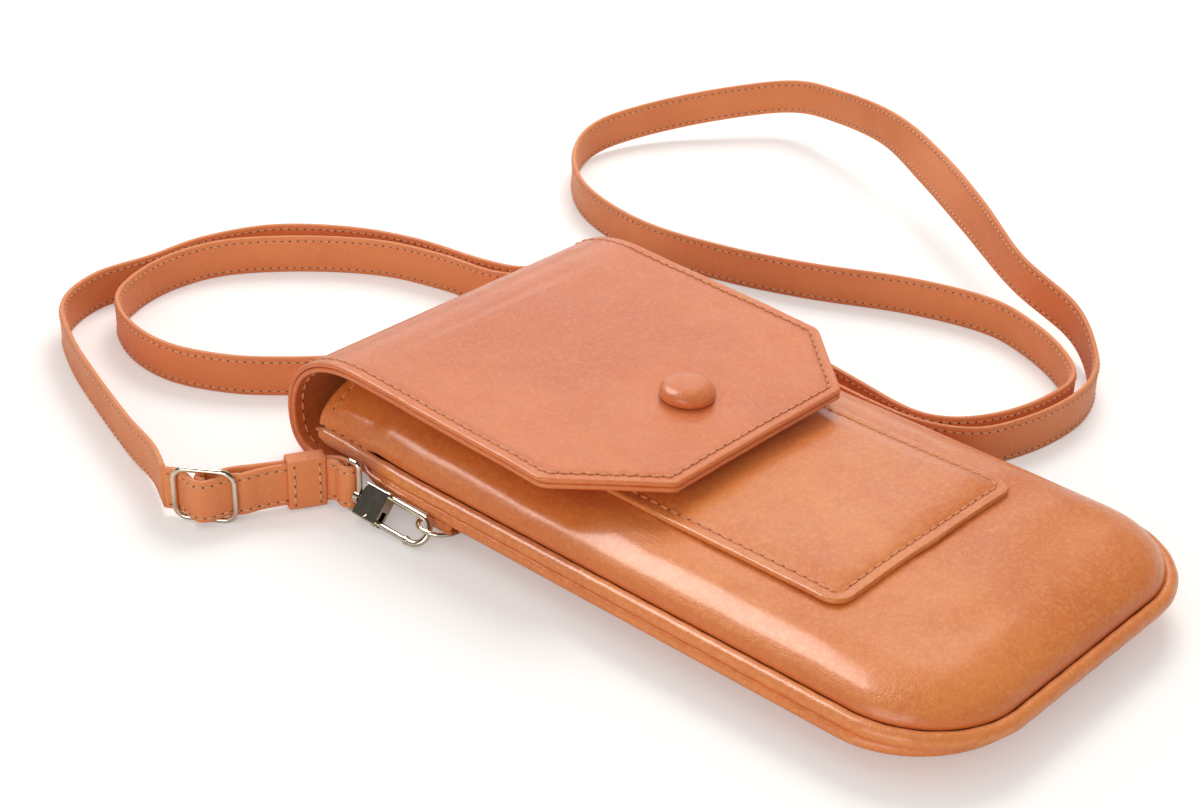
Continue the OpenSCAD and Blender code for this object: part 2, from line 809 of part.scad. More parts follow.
// A closed wire loop with rounded corners in the Y and Z directions, its middle at the origin
module wire_loop(length, height, wire_r, bend_r) {
    half_l = length / 2 - wire_r;
    half_h = height / 2 - wire_r;
    for (end = [-1, 1]) {
        translate([0, end * half_l, bend_r - half_h])
            cylinder(h = 2 * (half_h - bend_r), r = wire_r, $fn = wire_sides);
        translate([0, bend_r - half_l, end * half_h])
            rotate([-90, 0, 0])
                cylinder(h = 2 * (half_l - bend_r), r = wire_r, $fn = wire_sides);
        for (up = [-1, 1])
            translate([0, end * (half_l - bend_r), up * (half_h - bend_r)])
                rotate([0, -90, 0])
                    rotate([0, 0, up > 0 ? (end > 0 ? 0 : 270) : (end > 0 ? 90 : 180)])
                        quarter_wire(bend_r, wire_r);
    }
}

module hook_eye(side) {
    bend_r = eye_r * 3 / 2;
    color(METAL)
        translate([side * hook_x, hook_y, hook_z])
            rotate([0, 0, -side * hook_yaw])
                difference() {
                    union() {
                        translate([0, eye_y, eye_low + eye_h / 2 - hook_z])
                            wire_loop(eye_w, eye_h, eye_r, bend_r);
                        translate([0, hook_l + eye_gap, stem_z])
                            rotate([-90, 0, 0])
                                cylinder(h = 2 * eye_r, r = boss_r + eye_r / 2, $fn = wire_sides);
                    }
                    translate([0, hook_l - overrun, stem_z])
                        rotate([-90, 0, 0])
                            cylinder(h = 2 * eye_r + 2 * overrun, r = stem_r + boss_play, $fn = wire_sides);
                }
}

// A ribbon of strap that stands on edge along a line of points
function cut_corners(p) = concat(
    [p[0]],
    [for (i = [0 : len(p) - 2]) each [mix(p[i], p[i + 1], 1 / 4), mix(p[i], p[i + 1], 3 / 4)]],
    [p[len(p) - 1]]
);
function side_of(p, i) =
    let (a = p[max(0, i - 1)], b = p[min(len(p) - 1, i + 1)])
        [a[1] - b[1], b[0] - a[0]] / norm([b[0] - a[0], b[1] - a[1]]);
module ribbon(p) {
    steps = [for (i = [0 : len(p) - 1]) i];
    translate([0, 0, strap_low])
        linear_extrude(strap_w)
            polygon(concat(
                [for (i = steps) p[i] + side_of(p, i) * strap_t / 2],
                [for (i = steps) p[len(p) - 1 - i] - side_of(p, len(p) - 1 - i) * strap_t / 2]
            ));
}
function arc(centre, r, from, to, n) = [
    for (i = [0 : n]) let (a = mix(from, to, i / n)) centre + r * [cos(a), sin(a)]
];

// Where the strap meets the hook, the keeper and the slider
eye_bar = [-hook_x - eye_bar_y * sin(hook_yaw), hook_y + eye_bar_y * cos(hook_yaw)];
slider_at = [-76.5, 78.7];
slider_turn = -55.3;
keeper_turn = -29.5;
keeper_end = [-53.4, 65.2];
keeper_free_l = 14;
keeper_lead_l = 0.9;
keeper_back_l = 2;
wrap_r = eye_r + seat_gap + strap_t / 2;
bar_wrap_r = slider_r + seat_gap + strap_t / 2;
layer_step = strap_t + seat_gap;
function along(angle, d, n) = d * [cos(angle), sin(angle)] + n * [-sin(angle), cos(angle)];
bar_step = slider_l / 2 - slider_r;
strand_in = slider_r + strap_t / 2 + 3 * seat_gap;
strand_out = slider_r + 3 * strap_t / 2 + 3 * seat_gap;
meet_share = [0.315, 0.27];
near_line = concat(
    cut_corners(cut_corners([
        slider_at + along(slider_turn, -bar_step - 2 * strap_t, strand_in),
        slider_at + along(slider_turn, -bar_step + strap_t, strand_in),
        slider_at + along(slider_turn, -strap_t, -strand_out),
        slider_at + along(slider_turn, strap_t, -strand_out),
        slider_at + along(slider_turn, bar_step - strap_t, strand_in),
        slider_at + along(slider_turn, bar_step + strap_t, strand_in),
        keeper_end - along(keeper_turn, keeper_free_l, 0),
        keeper_end + along(keeper_turn, keeper_lead_l, 0),
        eye_bar + [-wrap_r, 2 * wrap_r / 3]
    ])),
    arc(eye_bar, wrap_r, 180, 345, 12),
    cut_corners(cut_corners([
        eye_bar + [wrap_r, wrap_r / 3],
        keeper_end + along(keeper_turn, keeper_lead_l, layer_step),
        keeper_end - along(keeper_turn, keeper_free_l, -layer_step),
        slider_at + along(slider_turn, slider_l * meet_share[0], slider_l * meet_share[1]),
        slider_at + along(slider_turn, 2 * strap_t, bar_wrap_r + strap_t / 2),
        slider_at + along(slider_turn, strap_t / 2, bar_wrap_r)
    ])),
    arc(slider_at, bar_wrap_r, 90 + slider_turn, 300 + slider_turn, 14)
);

module strap_adjuster() {
    color(STRAP_LEATHER) ribbon(near_line);
}

module keeper() {
    inner_t = strap_t + layer_step + 5 * seat_gap;
    inner_h = strap_w + 6 * seat_gap;
    middle = keeper_end - along(keeper_turn, keeper_back_l + keeper_l / 2, -layer_step / 2);
    color(LEATHER)
        translate([middle[0], middle[1], strap_low + strap_w / 2])
            rotate([0, 0, keeper_turn])
                rotate([0, 90, 0])
                    translate([0, 0, -keeper_l / 2])
                        linear_extrude(keeper_l)
                            difference() {
                                offset(r = keeper_t, $fn = wire_sides)
                                    square([inner_h, inner_t], center = true);
                                square([inner_h, inner_t], center = true);
                            }
}

slider_bend_share = 4.5;
module slider() {
    height = strap_w + 4 * slider_r + 5 * seat_gap;
    color(METAL)
        translate([slider_at[0], slider_at[1], strap_low + strap_w / 2])
            rotate([0, 0, slider_turn - 90]) {
                wire_loop(slider_l, height, slider_r, slider_bend_share * slider_r);
                cylinder(h = height - 2 * slider_r, r = slider_r, center = true, $fn = wire_sides);
            }
}

// The strap's far end goes round the other hook's eye and is sewn back on itself
far_bar = [-eye_bar[0], eye_bar[1]];
far_join = [54.2, 86];
far_tail_l = 16;
far_line = concat(
    cut_corners([
        far_join,
        [54.1, 76],
        [54, 68],
        far_bar + [wrap_r, wrap_r / 3]
    ]),
    arc(far_bar, wrap_r, 0, -180, 12),
    cut_corners([
        far_bar + [-wrap_r, wrap_r / 3],
        [54 - layer_step, 68],
        [54.05 - layer_step, 64 + far_tail_l]
    ])
);

module strap_far_end() {
    color(STRAP_LEATHER) ribbon(far_line);
}

// The strap's route on the table: its place, its height above the table and its lean to the left
strap_start = slider_at + along(slider_turn, -bar_step - 2 * strap_t, strand_in);
strap_route = [
    [-75.5, 97, 1, 0], [-71, 112, 0, 0], [-64.5, 132, 0, 0],
    [-57, 152, 0, 0], [-48, 167, 0, 0], [-34, 173.5, 0, 0], [-18, 172, 0, 0], [-2, 171.3, 0, 0],
    [15, 164.5, 0, 0], [28, 150, 0, 0], [35.5, 133, 0, 0], [39, 113, 0, 0], [43, 102.5, 0, 0],
    [51, 99, 0, 0], [58.5, 93.5, 0, 0], [61.5, 82, 0, 0], [61.5, 60, 0, 0], [60, 35, 0, 0],
    [56, 10, 0, 0], [53.3, -8, 0, 0], [57, -17.5, 0, 0], [67, -24, 0, 0], [80, -27, 0, 0],
    [92.6, -26.2, 0, 0], [101.5, -18.4, 0, 0], [109, -5, 0, 0], [112.5, 10, 0, 0],
    [107.5, 30, 0, 0], [96, 53.5, 0, 0], [88.5, 75, 0, 0], [85, 97, 0, 0], [88.5, 118, 0, 0],
    [97, 134, 0, 0], [112, 147.5, 0, 0], [127, 152, 1, 0], [145, 147.5, 2.5, 0],
    [163, 136.5, 5, 0], [178, 123, 7, 0], [176.5, 106, 9.5, 0], [168.5, 82, 12, 10],
    [155.6, 58, 12, 35], [139.4, 34, 11, 25], [124, 10, 8, 5], [117.5, -11, 4, 0],
    [107, -23.5, 0, 0], [94.5, -29.8, 0, 0], [81, -31, 0, 0], [67, -28.5, 0, 0],
    [56.4, -23.4, 0, 0], [50.6, -12, 0, 0], [50.4, 5, 0, 0], [52.5, 22, 0, 0],
    [56.2, 36, 0, 0], [57.9, 50, 0, 0], [58.2, 70, 0, 0], [57.2, 86, 0, 0],
    [50, 94.8, 0, 0], [41, 99, 0, 0], [36, 107, 0, 0], [34, 121, 0, 0], [28.5, 138, 0, 0],
    [16, 154, 0, 0], [0.5, 166, 0, 0], [-14, 169, 0, 0], [-27, 166.5, 0, 0],
    [-37.5, 160, 0, 0], [-43.5, 147, 0, 0], [-44, 132, 0, 0], [-38, 118, 0, 0],
    [-29.5, 108, 0, 0], [-21, 100.5, 0, 0], [-10, 96, 0, -30], [8, 94.3, 0, -55],
    [27, 94.2, 0, -55], [41, 93, 0, -30], [49, 90.8, 0.5, -5]
];
join_gap = 0.6;
function toward(a, b, d) = a + (b - a) * d / norm(b - a);
strap_first = toward(strap_start, [strap_route[0][0], strap_route[0][1]], join_gap);
strap_end = strap_route[len(strap_route) - 1];
strap_last = toward(far_join, [strap_end[0], strap_end[1]], join_gap);
strap_points = concat(
    [[strap_first[0], strap_first[1], strap_low, 0]],
    strap_route,
    [[strap_last[0], strap_last[1], strap_low, 0]]
);
function strap_ring(i) =
    let (
        p = strap_points[i],
        a = strap_points[max(0, i - 1)],
        b = strap_points[min(len(strap_points) - 1, i + 1)],
        left = [a[1] - b[1], b[0] - a[0], 0] / norm([b[0] - a[0], b[1] - a[1]]),
        wide = left * sin(p[3]) + [0, 0, cos(p[3])],
        thick = left * cos(p[3]) - [0, 0, sin(p[3])],
        rise = (strap_w * cos(p[3]) + strap_t * abs(sin(p[3]))) / 2,
        centre = [p[0], p[1], p[2] + rise]
    )
    [
        for (corner = strap_section)
            centre + wide * corner[0] * strap_w / 2 + thick * corner[1] * strap_t / 2
    ];
edge_share = 0.94;
flank_share = 0.6;
strap_section = [
    [1, flank_share], [edge_share, 1], [-edge_share, 1], [-1, flank_share],
    [-1, -flank_share], [-edge_share, -1], [edge_share, -1], [1, -flank_share]
];

module strap() {
    color(STRAP_LEATHER) tube([for (i = [0 : len(strap_points) - 1]) strap_ring(i)]);
}

front_panel();
front_lining();
back_panel();
back_lining();
welt();
card_pocket();
flap_outer();
flap_lining();
fold_outer();
fold_lining();
flap_back();
flap_back_lining();
button_cover();
snap_cap();
snap_socket();
snap_stud();
snap_post();
tab(-1);  // tab_left
tab(1);  // tab_right
d_ring(-1);  // d_ring_left
d_ring(1);  // d_ring_right
hook(-1);  // hook_left
hook(1);  // hook_right
hook_eye(-1);  // hook_eye_left
hook_eye(1);  // hook_eye_right
gate(-1);  // gate_left
gate(1);  // gate_right
gate_pin(-1);  // gate_pin_left
gate_pin(1);  // gate_pin_right
gate_spring(-1);  // gate_spring_left
gate_spring(1);  // gate_spring_right
keeper();
slider();
strap_adjuster();
strap_far_end();
strap();
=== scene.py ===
"""A padded leather phone pouch on a crossbody strap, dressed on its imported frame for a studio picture."""

import logging
import math
from collections.abc import Callable
from dataclasses import dataclass, field
from enum import Enum

import bmesh
import bpy
import numpy as np
from mathutils import Matrix, Vector

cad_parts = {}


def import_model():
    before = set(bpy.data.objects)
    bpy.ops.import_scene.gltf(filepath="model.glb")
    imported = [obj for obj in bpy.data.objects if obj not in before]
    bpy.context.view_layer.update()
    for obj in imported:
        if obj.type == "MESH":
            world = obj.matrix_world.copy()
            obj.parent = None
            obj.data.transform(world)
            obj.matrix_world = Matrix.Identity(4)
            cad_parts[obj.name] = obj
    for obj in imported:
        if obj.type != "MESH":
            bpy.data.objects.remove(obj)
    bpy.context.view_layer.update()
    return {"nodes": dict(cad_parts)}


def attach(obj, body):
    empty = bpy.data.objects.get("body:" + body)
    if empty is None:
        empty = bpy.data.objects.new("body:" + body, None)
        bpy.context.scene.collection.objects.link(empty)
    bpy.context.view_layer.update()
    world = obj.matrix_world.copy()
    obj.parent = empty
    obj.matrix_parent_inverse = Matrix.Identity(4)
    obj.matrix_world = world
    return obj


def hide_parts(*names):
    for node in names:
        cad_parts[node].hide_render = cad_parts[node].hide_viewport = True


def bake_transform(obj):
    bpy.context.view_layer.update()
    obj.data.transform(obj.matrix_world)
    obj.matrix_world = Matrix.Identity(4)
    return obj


LOG = logging.getLogger("phone_pouch")
MM = 0.001
TUBE_ANGLES = np.linspace(0, 2 * math.pi, 20, endpoint=False)
Points = np.ndarray
Socket = bpy.types.NodeSocket


def smooth(t: Points) -> Points:
    """Eases a share from 0 to 1 with level ends."""
    c = np.clip(t, 0.0, 1.0)
    return c * c * (3 - 2 * c)


def mix(a: Points, b: Points, t: Points) -> Points:
    """Goes from a to b as t goes from 0 to 1."""
    return a + (b - a) * t


def round_profile(t: Points) -> Points:
    """Height of a quarter circle at the share t of its width."""
    c = 1 - np.clip(t, 0.0, 1.0)
    return np.sqrt(np.maximum(0.0, 1 - c * c))


def soft_min(a: Points, b: Points, k: float) -> Points:
    """The smaller of two values, rounded where they meet."""
    h = np.clip((b - a) / (2 * k) + 0.5, 0.0, 1.0)
    return mix(b, a, h) - k * h * (1 - h)


def hump(t: Points, centre: float, width: float) -> Points:
    """A smooth rise to 1 at a centre."""
    return np.exp(-(((t - centre) / width) ** 2))


def edge_wear(inside: Points) -> Points:
    """Wear of a leather's edge, at distances inside it."""
    return 0.35 * hump(inside, 0.0, 0.7)


def from_ends(count: int) -> Points:
    """Steps from each point of a line to the nearer of its ends."""
    n = np.arange(count)
    return np.minimum(n, n[::-1])


def undulation(x: Points, y: Points, wave: float, seed: int) -> Points:
    """Soft random waves over a surface.

    Args:
        x: Places across, in millimetres.
        y: Places along, in millimetres.
        wave: Typical wave length, in millimetres.
        seed: Picks one fixed pattern.

    Returns:
        Heights between about -1 and 1.
    """
    rng = np.random.RandomState(seed)
    total = np.zeros(np.broadcast(x, y).shape)
    waves, full_height = 7, 3.6
    for _ in range(waves):
        angle = rng.uniform(0, math.pi)
        k = 2 * math.pi / (wave * rng.uniform(0.65, 1.6))
        total += np.sin(k * (x * math.cos(angle) + y * math.sin(angle)) + rng.uniform(0, 2 * math.pi))
    return total / full_height


def unit(v: Points) -> Points:
    """Vectors of length one along the last axis."""
    return v / np.maximum(np.linalg.norm(v, axis=-1, keepdims=True), 1e-9)


def spline(points: Points, per: int) -> Points:
    """A smooth curve through points.

    Args:
        points: Rows of any number of values.
        per: Steps between two neighbours.

    Returns:
        The points of the curve, from the first point to the last.
    """
    p = np.asarray(points, float)
    p = np.vstack([2 * p[0] - p[1], p, 2 * p[-1] - p[-2]])
    t = (np.arange(per) / per)[:, None]
    out = []
    for i in range(1, len(p) - 2):
        a, b, c, d = p[i - 1:i + 3]
        bend = 2 * b + (c - a) * t + (2 * a - 5 * b + 4 * c - d) * t ** 2
        out.append(0.5 * (bend + (3 * b - a - 3 * c + d) * t ** 3))
    out.append(p[-2][None])
    return np.vstack(out)


def run_of(points: Points) -> Points:
    """Distance of each point from the start of its line, measured in its first three columns."""
    return np.concatenate([[0], np.cumsum(np.linalg.norm(np.diff(points[:, :3], axis=0), axis=1))])


def at_run(at: Points, run: Points, columns: Points) -> Points:
    """Values of a line's columns at distances from its start."""
    return np.stack([np.interp(at, run, column) for column in columns.T], axis=-1)


def resample(points: Points, step: float) -> Points:
    """Points at even distances along a line, measured in its first three columns."""
    run = run_of(points)
    count = max(2, int(round(run[-1] / step)) + 1)
    return at_run(np.linspace(0, run[-1], count), run, points)


def heading(line: Points) -> Points:
    """Step from the point before each point of a line to the point after it."""
    return np.vstack([line[1:], line[-1:]]) - np.vstack([line[:1], line[:-1]])


def widened(column: Points, cols: int) -> Points:
    """A column of values repeated over a grid's columns."""
    return np.repeat(column[:, None], cols, axis=1)


def set_inputs(node: bpy.types.Node, values: dict) -> None:
    """Sets a node's inputs by their names."""
    for name, value in values.items():
        node.inputs[name].default_value = value


def wire(tree: bpy.types.NodeTree, *links: tuple[Socket, Socket]) -> None:
    """Links sockets in pairs, each from a source to a target."""
    for source, target in links:
        tree.links.new(source, target)


class Slot(Enum):
    """The record's material slots, passed along with the dressed pieces."""

    LEATHER = "leather"
    STRAP = "strap_leather"
    LINING = "lining"


class Sketch:
    """Adds nodes to a material with short calls."""

    def __init__(self, name: str) -> None:
        """Makes the material and its shader."""
        self.material = bpy.data.materials.new(name)
        self.material.use_nodes = True
        self.tree = self.material.node_tree
        self.tree.nodes.clear()
        output = self.tree.nodes.new("ShaderNodeOutputMaterial")
        self.shader = self.tree.nodes.new("ShaderNodeBsdfPrincipled")
        self.join(self.shader.outputs[0], output.inputs[0])

    def join(self, source: Socket, target: Socket) -> None:
        """Links two sockets."""
        self.tree.links.new(source, target)

    def place(self) -> Socket:
        """The position on the piece, in metres."""
        return self.tree.nodes.new("ShaderNodeTexCoord").outputs["Object"]

    def stretched(self, place: Socket, scale: tuple, turn: float = 0.0) -> Socket:
        """The position, scaled along each direction and turned about Z."""
        node = self.tree.nodes.new("ShaderNodeMapping")
        set_inputs(node, {"Scale": scale, "Rotation": (0, 0, turn)})
        self.join(place, node.inputs["Vector"])
        return node.outputs[0]

    def noise(self, place: Socket, scale: float, detail: float = 3.0, warp: float = 0.0) -> Socket:
        """A noise value from 0 to 1 at a scale given per metre."""
        node = self.tree.nodes.new("ShaderNodeTexNoise")
        set_inputs(node, {"Scale": scale, "Detail": detail, "Distortion": warp})
        self.join(place, node.inputs["Vector"])
        return node.outputs["Fac"]

    def cells(self, place: Socket, scale: float) -> Socket:
        """Distance to the edges of a cell pattern, as in grained leather."""
        node = self.tree.nodes.new("ShaderNodeTexVoronoi")
        node.feature = "DISTANCE_TO_EDGE"
        set_inputs(node, {"Scale": scale})
        self.join(place, node.inputs["Vector"])
        return node.outputs["Distance"]

    def ramp(
        self, value: Socket, low: float, high: float, out_low: float = 0.0, out_high: float = 1.0
    ) -> Socket:
        """Spreads a value from one range to another, with level ends."""
        node = self.tree.nodes.new("ShaderNodeMapRange")
        node.interpolation_type = "SMOOTHSTEP"
        set_inputs(node, {"From Min": low, "From Max": high, "To Min": out_low, "To Max": out_high})
        self.join(value, node.inputs["Value"])
        return node.outputs[0]

    def sums(self, kind: str, a: Socket, b: Socket | float) -> Socket:
        """One step of arithmetic on a socket and a socket or a number."""
        node = self.tree.nodes.new("ShaderNodeMath")
        node.operation = kind
        self.join(a, node.inputs[0])
        if isinstance(b, (int, float)):
            node.inputs[1].default_value = b
        else:
            self.join(b, node.inputs[1])
        return node.outputs[0]

    def blend(self, share: Socket, a: Socket | tuple, b: Socket | tuple) -> Socket:
        """Mixes two colours, each a socket or a tuple."""
        node = self.tree.nodes.new("ShaderNodeMix")
        node.data_type = "RGBA"
        self.join(share, node.inputs[0])
        for colour, slot in ((a, node.inputs[6]), (b, node.inputs[7])):
            if isinstance(colour, tuple):
                slot.default_value = (*colour, 1.0)
            else:
                self.join(colour, slot)
        return node.outputs[2]

    def bump(self, height: Socket, depth: float, before: Socket | None = None) -> Socket:
        """Turns heights of the given depth, in metres, into relief, on top of earlier relief."""
        node = self.tree.nodes.new("ShaderNodeBump")
        set_inputs(node, {"Distance": depth, "Strength": 1.0})
        self.join(height, node.inputs["Height"])
        if before is not None:
            self.join(before, node.inputs["Normal"])
        return node.outputs[0]

    def attribute(self, name: str) -> Socket:
        """A value kept on the mesh."""
        node = self.tree.nodes.new("ShaderNodeAttribute")
        node.attribute_name = name
        return node.outputs["Fac"]


@dataclass(frozen=True)
class LeatherFinish:
    """Smooth, softly shining leather with fine grain, pull lines, wear and painted shade in its grooves and
    folds.

    Args:
        name: Name of the material.
        base: Its main colour.
        deep: Colour of its clouds and pores, and of the painted shade in its grooves and folds.
        pale: Colour of its specks, veins and worn places.
        roughness: Middle of its roughness.
        gloss: Specular level.
        coat: Weight of the clear coat.
        coat_roughness: Roughness of the clear coat.
        sheen: Weight of the sheen.
        grain: Cells of the grain per metre.
        grain_depth: Depth of the grain, in metres.
        crease_depth: Depth of the widest creases, in metres.
        crease_scale: Creases per metre.
        vein_depth: Depth of the veins, in metres.
        mottled: Share of the full mottling.
        fold_shade_dark: Brightness of the painted shade deep in the folds, as a share of the deep colour.
    """

    name: str
    base: tuple[float, float, float]
    deep: tuple[float, float, float]
    pale: tuple[float, float, float]
    roughness: float = 0.40
    gloss: float = 0.5
    coat: float = 0.7
    coat_roughness: float = 0.18
    sheen: float = 0.06
    grain: float = 1500.0
    grain_depth: float = 0.00004
    crease_depth: float = 0.00022
    crease_scale: float = 70.0
    vein_depth: float = 0.00003
    mottled: float = 1.0
    fold_shade_dark: float = 0.16

    def material(self) -> bpy.types.Material:
        """Builds the material."""
        s = Sketch(self.name)
        place = s.place()
        tone = s.noise(place, 24.0, 6.0, 0.3)
        colour = s.blend(s.ramp(tone, 0.38, 0.72, 0.0, 0.8), self.base, self.deep)
        cloud = s.ramp(s.noise(place, 210.0, 5.0, 0.6), 0.42, 0.72, 0.0, 0.36 * self.mottled)
        colour = s.blend(cloud, colour, self.deep)
        mottle = s.ramp(s.noise(place, 1000.0, 5.0, 0.5), 0.42, 0.68, 0.0, 0.46 * self.mottled)
        colour = s.blend(mottle, colour, self.pale)
        pores = s.ramp(s.noise(place, 1900.0, 2.0), 0.30, 0.42, 0.35, 0.0)
        colour = s.blend(pores, colour, self.deep)
        veins = s.noise(s.stretched(place, (1.0, 0.45, 1.0), 0.7), self.crease_scale * 2.2, 5.0, 1.4)
        vein_line = s.ramp(s.sums("ABSOLUTE", s.sums("SUBTRACT", veins, 0.5), 0.0), 0.0, 0.010, 0.42, 0.0)
        vein_spread = s.ramp(s.noise(place, 45.0, 2.0), 0.55, 0.70)
        colour = s.blend(s.sums("MULTIPLY", vein_line, vein_spread), colour, self.pale)
        # Painted shade: the mesh's crease values darken the colour toward the deep colour in grooves, and
        # toward a very dark brown deep inside the flap's fold.
        fold = s.attribute("crease_shade")
        colour = s.blend(s.ramp(fold, 0.0, 0.5, 0.0, 0.6), colour, self.deep)
        darkest_fold_shade = tuple(c * self.fold_shade_dark for c in self.deep)
        colour = s.blend(s.ramp(fold, 0.55, 1.0, 0.0, 0.8), colour, darkest_fold_shade)
        colour = s.blend(s.sums("MULTIPLY", s.attribute("worn"), 0.55), colour, self.pale)
        s.join(colour, s.shader.inputs["Base Color"])
        rough = s.ramp(s.noise(place, 160.0, 3.0), 0.3, 0.7, self.roughness - 0.06, self.roughness + 0.08)
        s.join(rough, s.shader.inputs["Roughness"])
        set_inputs(s.shader, {
            "Specular IOR Level": self.gloss, "Coat Weight": self.coat,
            "Coat Roughness": self.coat_roughness, "Sheen Weight": self.sheen, "Sheen Roughness": 0.5,
        })
        creases = s.noise(s.stretched(place, (1.0, 0.6, 1.0), 0.5), self.crease_scale, 4.0, 0.8)
        relief = s.bump(creases, self.crease_depth)
        pull = s.noise(s.stretched(place, (1.0, 0.3, 1.0), -0.9), self.crease_scale * 4.0, 4.0, 0.8)
        relief = s.bump(pull, self.crease_depth * 0.42, relief)
        wrinkles = s.noise(s.stretched(place, (0.35, 1.0, 1.0), 0.25), 520.0, 3.0, 0.6)
        relief = s.bump(wrinkles, self.crease_depth * 0.45, relief)
        relief = s.bump(vein_line, -self.vein_depth, relief)
        cells = s.ramp(s.cells(place, self.grain), 0.0, 0.25)
        relief = s.bump(cells, self.grain_depth, relief)
        s.join(relief, s.shader.inputs["Normal"])
        return s.material


@dataclass(frozen=True)
class ThreadFinish:
    """Twisted sewing thread.

    Args:
        name: Name of the material.
        base: Colour of its hollows.
        deep: Colour of its strands.
    """

    name: str
    base: tuple[float, float, float]
    deep: tuple[float, float, float]

    def material(self) -> bpy.types.Material:
        """Builds the material."""
        s = Sketch(self.name)
        twist = s.noise(s.place(), 5200.0, 2.0, 0.4)
        s.join(s.blend(s.ramp(twist, 0.35, 0.65), self.base, self.deep), s.shader.inputs["Base Color"])
        set_inputs(s.shader, {"Roughness": 0.55, "Sheen Weight": 0.2})
        s.join(s.bump(twist, 0.00008), s.shader.inputs["Normal"])
        return s.material


@dataclass(frozen=True)
class ClothFinish:
    """Fine woven lining.

    Args:
        name: Name of the material.
        base: Colour of its threads.
        deep: Colour between them.
    """

    name: str
    base: tuple[float, float, float]
    deep: tuple[float, float, float]

    def material(self) -> bpy.types.Material:
        """Builds the material."""
        s = Sketch(self.name)
        place = s.place()
        heights = []
        for turn in (0.0, math.pi / 2):
            wave = s.tree.nodes.new("ShaderNodeTexWave")
            set_inputs(wave, {"Scale": 620.0, "Distortion": 0.6})
            s.join(s.stretched(place, (1, 1, 1), turn), wave.inputs["Vector"])
            heights.append(wave.outputs["Fac"])
        weave = s.sums("MAXIMUM", heights[0], heights[1])
        s.join(s.blend(weave, self.deep, self.base), s.shader.inputs["Base Color"])
        set_inputs(s.shader, {"Roughness": 0.8, "Sheen Weight": 0.25})
        s.join(s.bump(weave, 0.00006), s.shader.inputs["Normal"])
        return s.material


@dataclass(frozen=True)
class MetalFinish:
    """Polished plated metal with faint smears.

    Args:
        name: Name of the material.
        base: Its colour.
        roughness: Middle of its roughness.
    """

    name: str
    base: tuple[float, float, float]
    roughness: float

    def material(self) -> bpy.types.Material:
        """Builds the material."""
        s = Sketch(self.name)
        place = s.place()
        tint = tuple(c * 0.86 for c in self.base)
        s.join(s.blend(s.noise(place, 300.0, 3.0), self.base, tint), s.shader.inputs["Base Color"])
        smear = s.noise(place, 900.0, 4.0)
        rough = s.ramp(smear, 0.35, 0.7, self.roughness * 0.7, self.roughness * 1.4)
        s.join(rough, s.shader.inputs["Roughness"])
        set_inputs(s.shader, {"Metallic": 1.0})
        s.join(s.bump(smear, 0.000004), s.shader.inputs["Normal"])
        return s.material


@dataclass
class Finishes:
    """Every material of the pouch, built once."""

    body: LeatherFinish = LeatherFinish(
        "cognac_leather", (0.83, 0.238, 0.044), (0.69, 0.148, 0.022), (0.90, 0.35, 0.095)
    )
    flap: LeatherFinish = LeatherFinish(
        "cognac_flap_leather", (0.79, 0.198, 0.045), (0.66, 0.132, 0.026), (0.88, 0.30, 0.085),
        roughness=0.42, coat=0.5, crease_scale=60.0, mottled=0.75,
    )
    strap: LeatherFinish = LeatherFinish(
        "strap_leather", (0.86, 0.280, 0.098), (0.75, 0.21, 0.066), (0.92, 0.38, 0.16),
        roughness=0.45, gloss=0.35, coat=0.08, crease_depth=0.00006, crease_scale=110.0, mottled=0.35,
    )
    # Painted shade for the needle holes.
    edge_holes: LeatherFinish = LeatherFinish(
        "needle_hole_shade", (0.40, 0.10, 0.030), (0.30, 0.07, 0.02), (0.46, 0.13, 0.045), roughness=0.7, coat=0.0
    )
    thread: ThreadFinish = ThreadFinish("cognac_thread", (0.92, 0.40, 0.15), (0.70, 0.24, 0.07))
    strap_thread: ThreadFinish = ThreadFinish("strap_thread", (0.95, 0.50, 0.26), (0.72, 0.30, 0.12))
    lining: ClothFinish = ClothFinish("lining_cloth", (0.16, 0.06, 0.03), (0.07, 0.025, 0.012))
    metal: MetalFinish = MetalFinish("pale_gold_plate", (0.86, 0.77, 0.62), 0.13)
    steel: MetalFinish = MetalFinish("spring_steel", (0.52, 0.50, 0.47), 0.25)
    made: dict[str, bpy.types.Material] = field(default_factory=dict)

    def get(self, name: str) -> bpy.types.Material:
        """The material of one named finish."""
        if name not in self.made:
            self.made[name] = getattr(self, name).material()
        return self.made[name]


